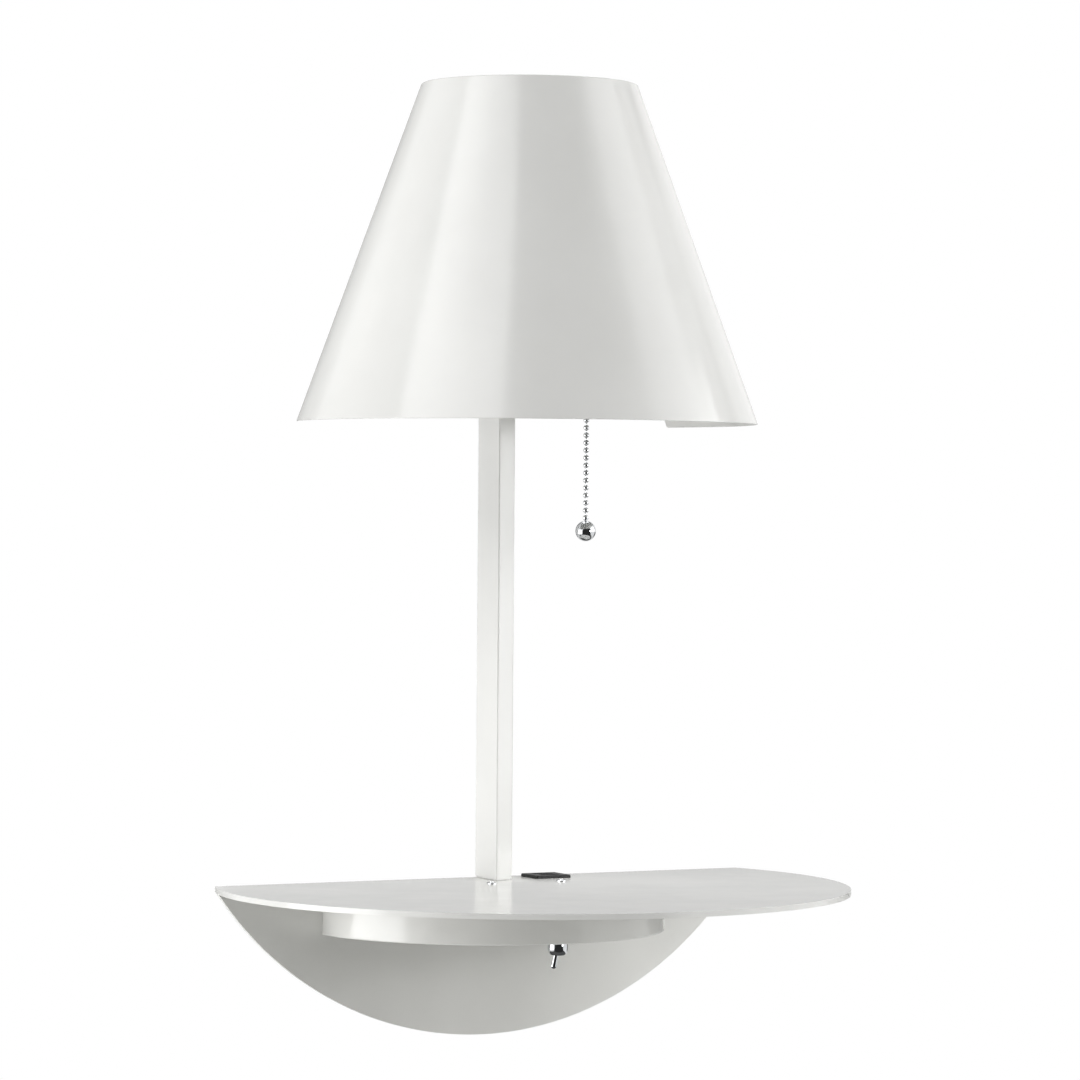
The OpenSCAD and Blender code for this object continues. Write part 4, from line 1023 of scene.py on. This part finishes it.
for make in (wall_plate, shelf_plate, housing, post, post_cap, shade, chain, pull_ball, shelf_screws,
             bracket_screws, usb_flange, usb_shells, usb_tongues, toggle_nut, toggle_bushing,
             toggle_lever, lamp_bracket, lamp_cable, holder_nipple, nipple_nuts, holder_cup, holder_sleeve,
             clamping_ring, bulb, pull_switch, switch_barrel, barrel_nut):
    make()
softened_copy("shade_fitter_pressed", "shade_fitter", mm(0.25))


# ------------------------------------------------------------------ stage, light and camera

MIDDLE = Vector((0, mm(-60), mm(200)))  # what the lamps point at
WHITE, BLACK = (1, 1, 1, 1), (0, 0, 0, 1)
AIR_LIGHT = 0.03


def seen_directly(tree):
    """A node that gives 1 to the eye, to gloss and to what is seen through glass, and 0 to the rest."""
    rays = add_node(tree, "ShaderNodeLightPath")
    seen = add_node(tree, "ShaderNodeMath", {0: (rays, "Is Camera Ray"), 1: (rays, "Is Glossy Ray")},
                    operation="MAXIMUM")
    return add_node(tree, "ShaderNodeMath", {0: (seen, 0), 1: (rays, "Is Transmission Ray")},
                    operation="MAXIMUM")


def world():
    """White behind the lamp for the eye and for gloss, and a weaker light for the rest."""
    made = bpy.data.worlds.new("studio_air")
    bpy.context.scene.world = made
    made.use_nodes = True
    tree = made.node_tree
    tree.nodes.clear()
    seen = seen_directly(tree)
    weak = add_node(tree, "ShaderNodeBackground", {"Color": WHITE, "Strength": AIR_LIGHT})
    white = add_node(tree, "ShaderNodeBackground", {"Color": WHITE, "Strength": 1.0})
    mix = add_node(tree, "ShaderNodeMixShader", {0: (seen, 0), 1: (weak, 0), 2: (white, 0)})
    add_node(tree, "ShaderNodeOutputWorld", {"Surface": (mix, 0)})


def floor():
    """A pale round floor that fades into the white at its rim, and that is clear from below."""
    radius, fade_start, fade_end = mm(1500), 0.3, 0.97
    middle = Vector((0, MIDDLE.y, mm(-420)))
    bpy.ops.object.select_all(action="DESELECT")
    bpy.ops.mesh.primitive_circle_add(vertices=128, radius=radius, fill_type="NGON", location=middle)
    disc = start("floor")
    close()
    material = bpy.data.materials.new("pale_floor")
    material.use_nodes = True
    tree = material.node_tree
    tree.nodes.clear()
    spots = add_node(tree, "ShaderNodeTexCoord")
    centred = add_node(tree, "ShaderNodeVectorMath", {0: (spots, "Object"), 1: tuple(-middle)},
                       operation="ADD")
    reach = add_node(tree, "ShaderNodeVectorMath", {0: (centred, 0)}, operation="LENGTH")
    fade = add_node(tree, "ShaderNodeMapRange", {
        "Value": (reach, 1), "From Min": radius * fade_start, "From Max": radius * fade_end,
        "To Min": 0.0, "To Max": 1.0}, interpolation_type="SMOOTHSTEP")
    paint = add_node(tree, "ShaderNodeBsdfDiffuse", {"Color": colour("#F4F4F2")})
    seen = seen_directly(tree)
    strength = add_node(tree, "ShaderNodeMapRange", {"Value": (seen, 0), "To Min": AIR_LIGHT})
    glow = add_node(tree, "ShaderNodeEmission", {"Color": WHITE, "Strength": (strength, "Result")})
    mix = add_node(tree, "ShaderNodeMixShader", {0: (fade, "Result"), 1: (paint, 0), 2: (glow, 0)})
    side = add_node(tree, "ShaderNodeNewGeometry")
    clear = add_node(tree, "ShaderNodeBsdfTransparent")
    one_sided = add_node(tree, "ShaderNodeMixShader", {
        0: (side, "Backfacing"), 1: (mix, 0), 2: (clear, 0)})
    add_node(tree, "ShaderNodeOutputMaterial", {"Surface": (one_sided, 0)})
    disc.data.materials.append(material)


def aimed(thing, azimuth, height, distance):
    """Puts a lamp or a card round the lamp's middle, facing it. Azimuth 0 is in front, 90 right."""
    turn = math.radians(azimuth)
    thing.location = MIDDLE + Vector((math.sin(turn) * distance, -math.cos(turn) * distance, height))
    thing.rotation_euler = (MIDDLE - thing.location).to_track_quat("-Z", "Y").to_euler()


def softbox(name, azimuth, height, distance, width, tall, radiance):
    """A soft lamp of an even brightness, where white is 1."""
    data = bpy.data.lights.new(name, "AREA")
    data.shape = "RECTANGLE"
    data.size, data.size_y = width, tall
    data.energy = radiance * math.pi * width * tall
    lamp = bpy.data.objects.new(name, data)
    aimed(lamp, azimuth, height, distance)
    lamp.visible_camera = False
    bpy.context.scene.collection.objects.link(lamp)


def board(name, width, tall, shader, sockets):
    """A flat board of one shader."""
    bpy.ops.object.select_all(action="DESELECT")
    bpy.ops.mesh.primitive_plane_add(size=1)
    made = bpy.context.object
    made.name = name
    made.scale = (width, tall, 1)
    material = bpy.data.materials.new(name)
    material.use_nodes = True
    tree = material.node_tree
    tree.nodes.clear()
    surface = add_node(tree, shader, sockets)
    add_node(tree, "ShaderNodeOutputMaterial", {"Surface": (surface, 0)})
    made.data.materials.append(material)
    return made


def card(name, azimuth, height, distance, width, tall, grey):
    """A grey card that only gloss sees, as the dark end of a studio shows in bright metal."""
    made = board(name, width, tall, "ShaderNodeEmission", {"Color": WHITE, "Strength": grey})
    aimed(made, azimuth, height, distance)
    made.visible_camera = made.visible_diffuse = made.visible_transmission = False
    made.visible_shadow = made.visible_volume_scatter = False


def flag(name, middle, width, tall):
    """A black upright board that keeps a lamp off what is behind it; nothing but shadow sees it."""
    made = board(name, width, tall, "ShaderNodeBsdfDiffuse", {"Color": BLACK})
    made.location = middle
    made.rotation_euler = (math.pi / 2, 0, 0)
    made.visible_camera = made.visible_diffuse = made.visible_glossy = False
    made.visible_transmission = made.visible_volume_scatter = False


def camera():
    """The photograph's eye: left of the front, level with the post's upper half."""
    data = bpy.data.cameras.new("camera")
    data.sensor_width, data.lens, data.clip_end = 36, 146.83, 20
    place_of_eye = Matrix.Translation((-1.1436, -2.2318, 0.2261))
    round_to_left = Matrix.Rotation(math.radians(-27.84), 4, "Z")
    nearly_level = Matrix.Rotation(math.radians(90 - 0.391), 4, "X")
    tilt = Matrix.Rotation(math.radians(0.428), 4, "Z")
    eye = bpy.data.objects.new("camera", data)
    eye.matrix_world = place_of_eye @ round_to_left @ nearly_level @ tilt
    bpy.context.scene.collection.objects.link(eye)
    bpy.context.scene.camera = eye


world()
floor()
# Soft lamps: azimuth in degrees, height and distance in metres from MIDDLE, width, height, brightness
softbox("left_low_softbox", -100, -0.37, 1.76, 1.3, 1.3, 4.9)
softbox("left_top_softbox", -71, 1.1, 1.42, 1.5, 0.95, 3.5)
softbox("right_softbox", 62, 0.37, 1.76, 1.5, 0.95, 4.1)
softbox("right_top_softbox", 60, 1.1, 1.42, 0.95, 0.95, 1.6)
softbox("right_rear_softbox", 118, 0.37, 1.76, 1.0, 0.95, 0.9)
softbox("rear_top_softbox", 150, 1.59, 0.85, 0.95, 0.95, 3.2)
softbox("front_strip", 27.4, -0.02, 2.0, 0.35, 0.55, 9.5)
# The flag shades the housing's pan: its middle, width and height
flag("pan_flag", spot(40, -262, -16), mm(290), mm(54))
# Cards: azimuth, height and distance as above, width, height, and their grey from 0 to 1
card("front_card", -14, -0.41, 2.6, 6.0, 5.2, 0.03)
card("front_low_card", -14, -0.43, 0.55, 1.4, 0.5, 0.03)
card("floor_card", 0, -0.6, 0.01, 1.4, 1.4, 0.1)
card("right_back_card", 116.5, 0, 2.6, 1.54, 4.5, 0.1)
card("back_card", 146.5, 0, 2.61, 1.25, 4.5, 0.62)
card("back_left_card", 180, 0, 2.62, 1.82, 4.5, 0.3)
card("top_card", -20, 2.4, 0.1, 4.0, 4.0, 0.28)
camera()
bpy.context.scene.view_settings.view_transform = "Standard"
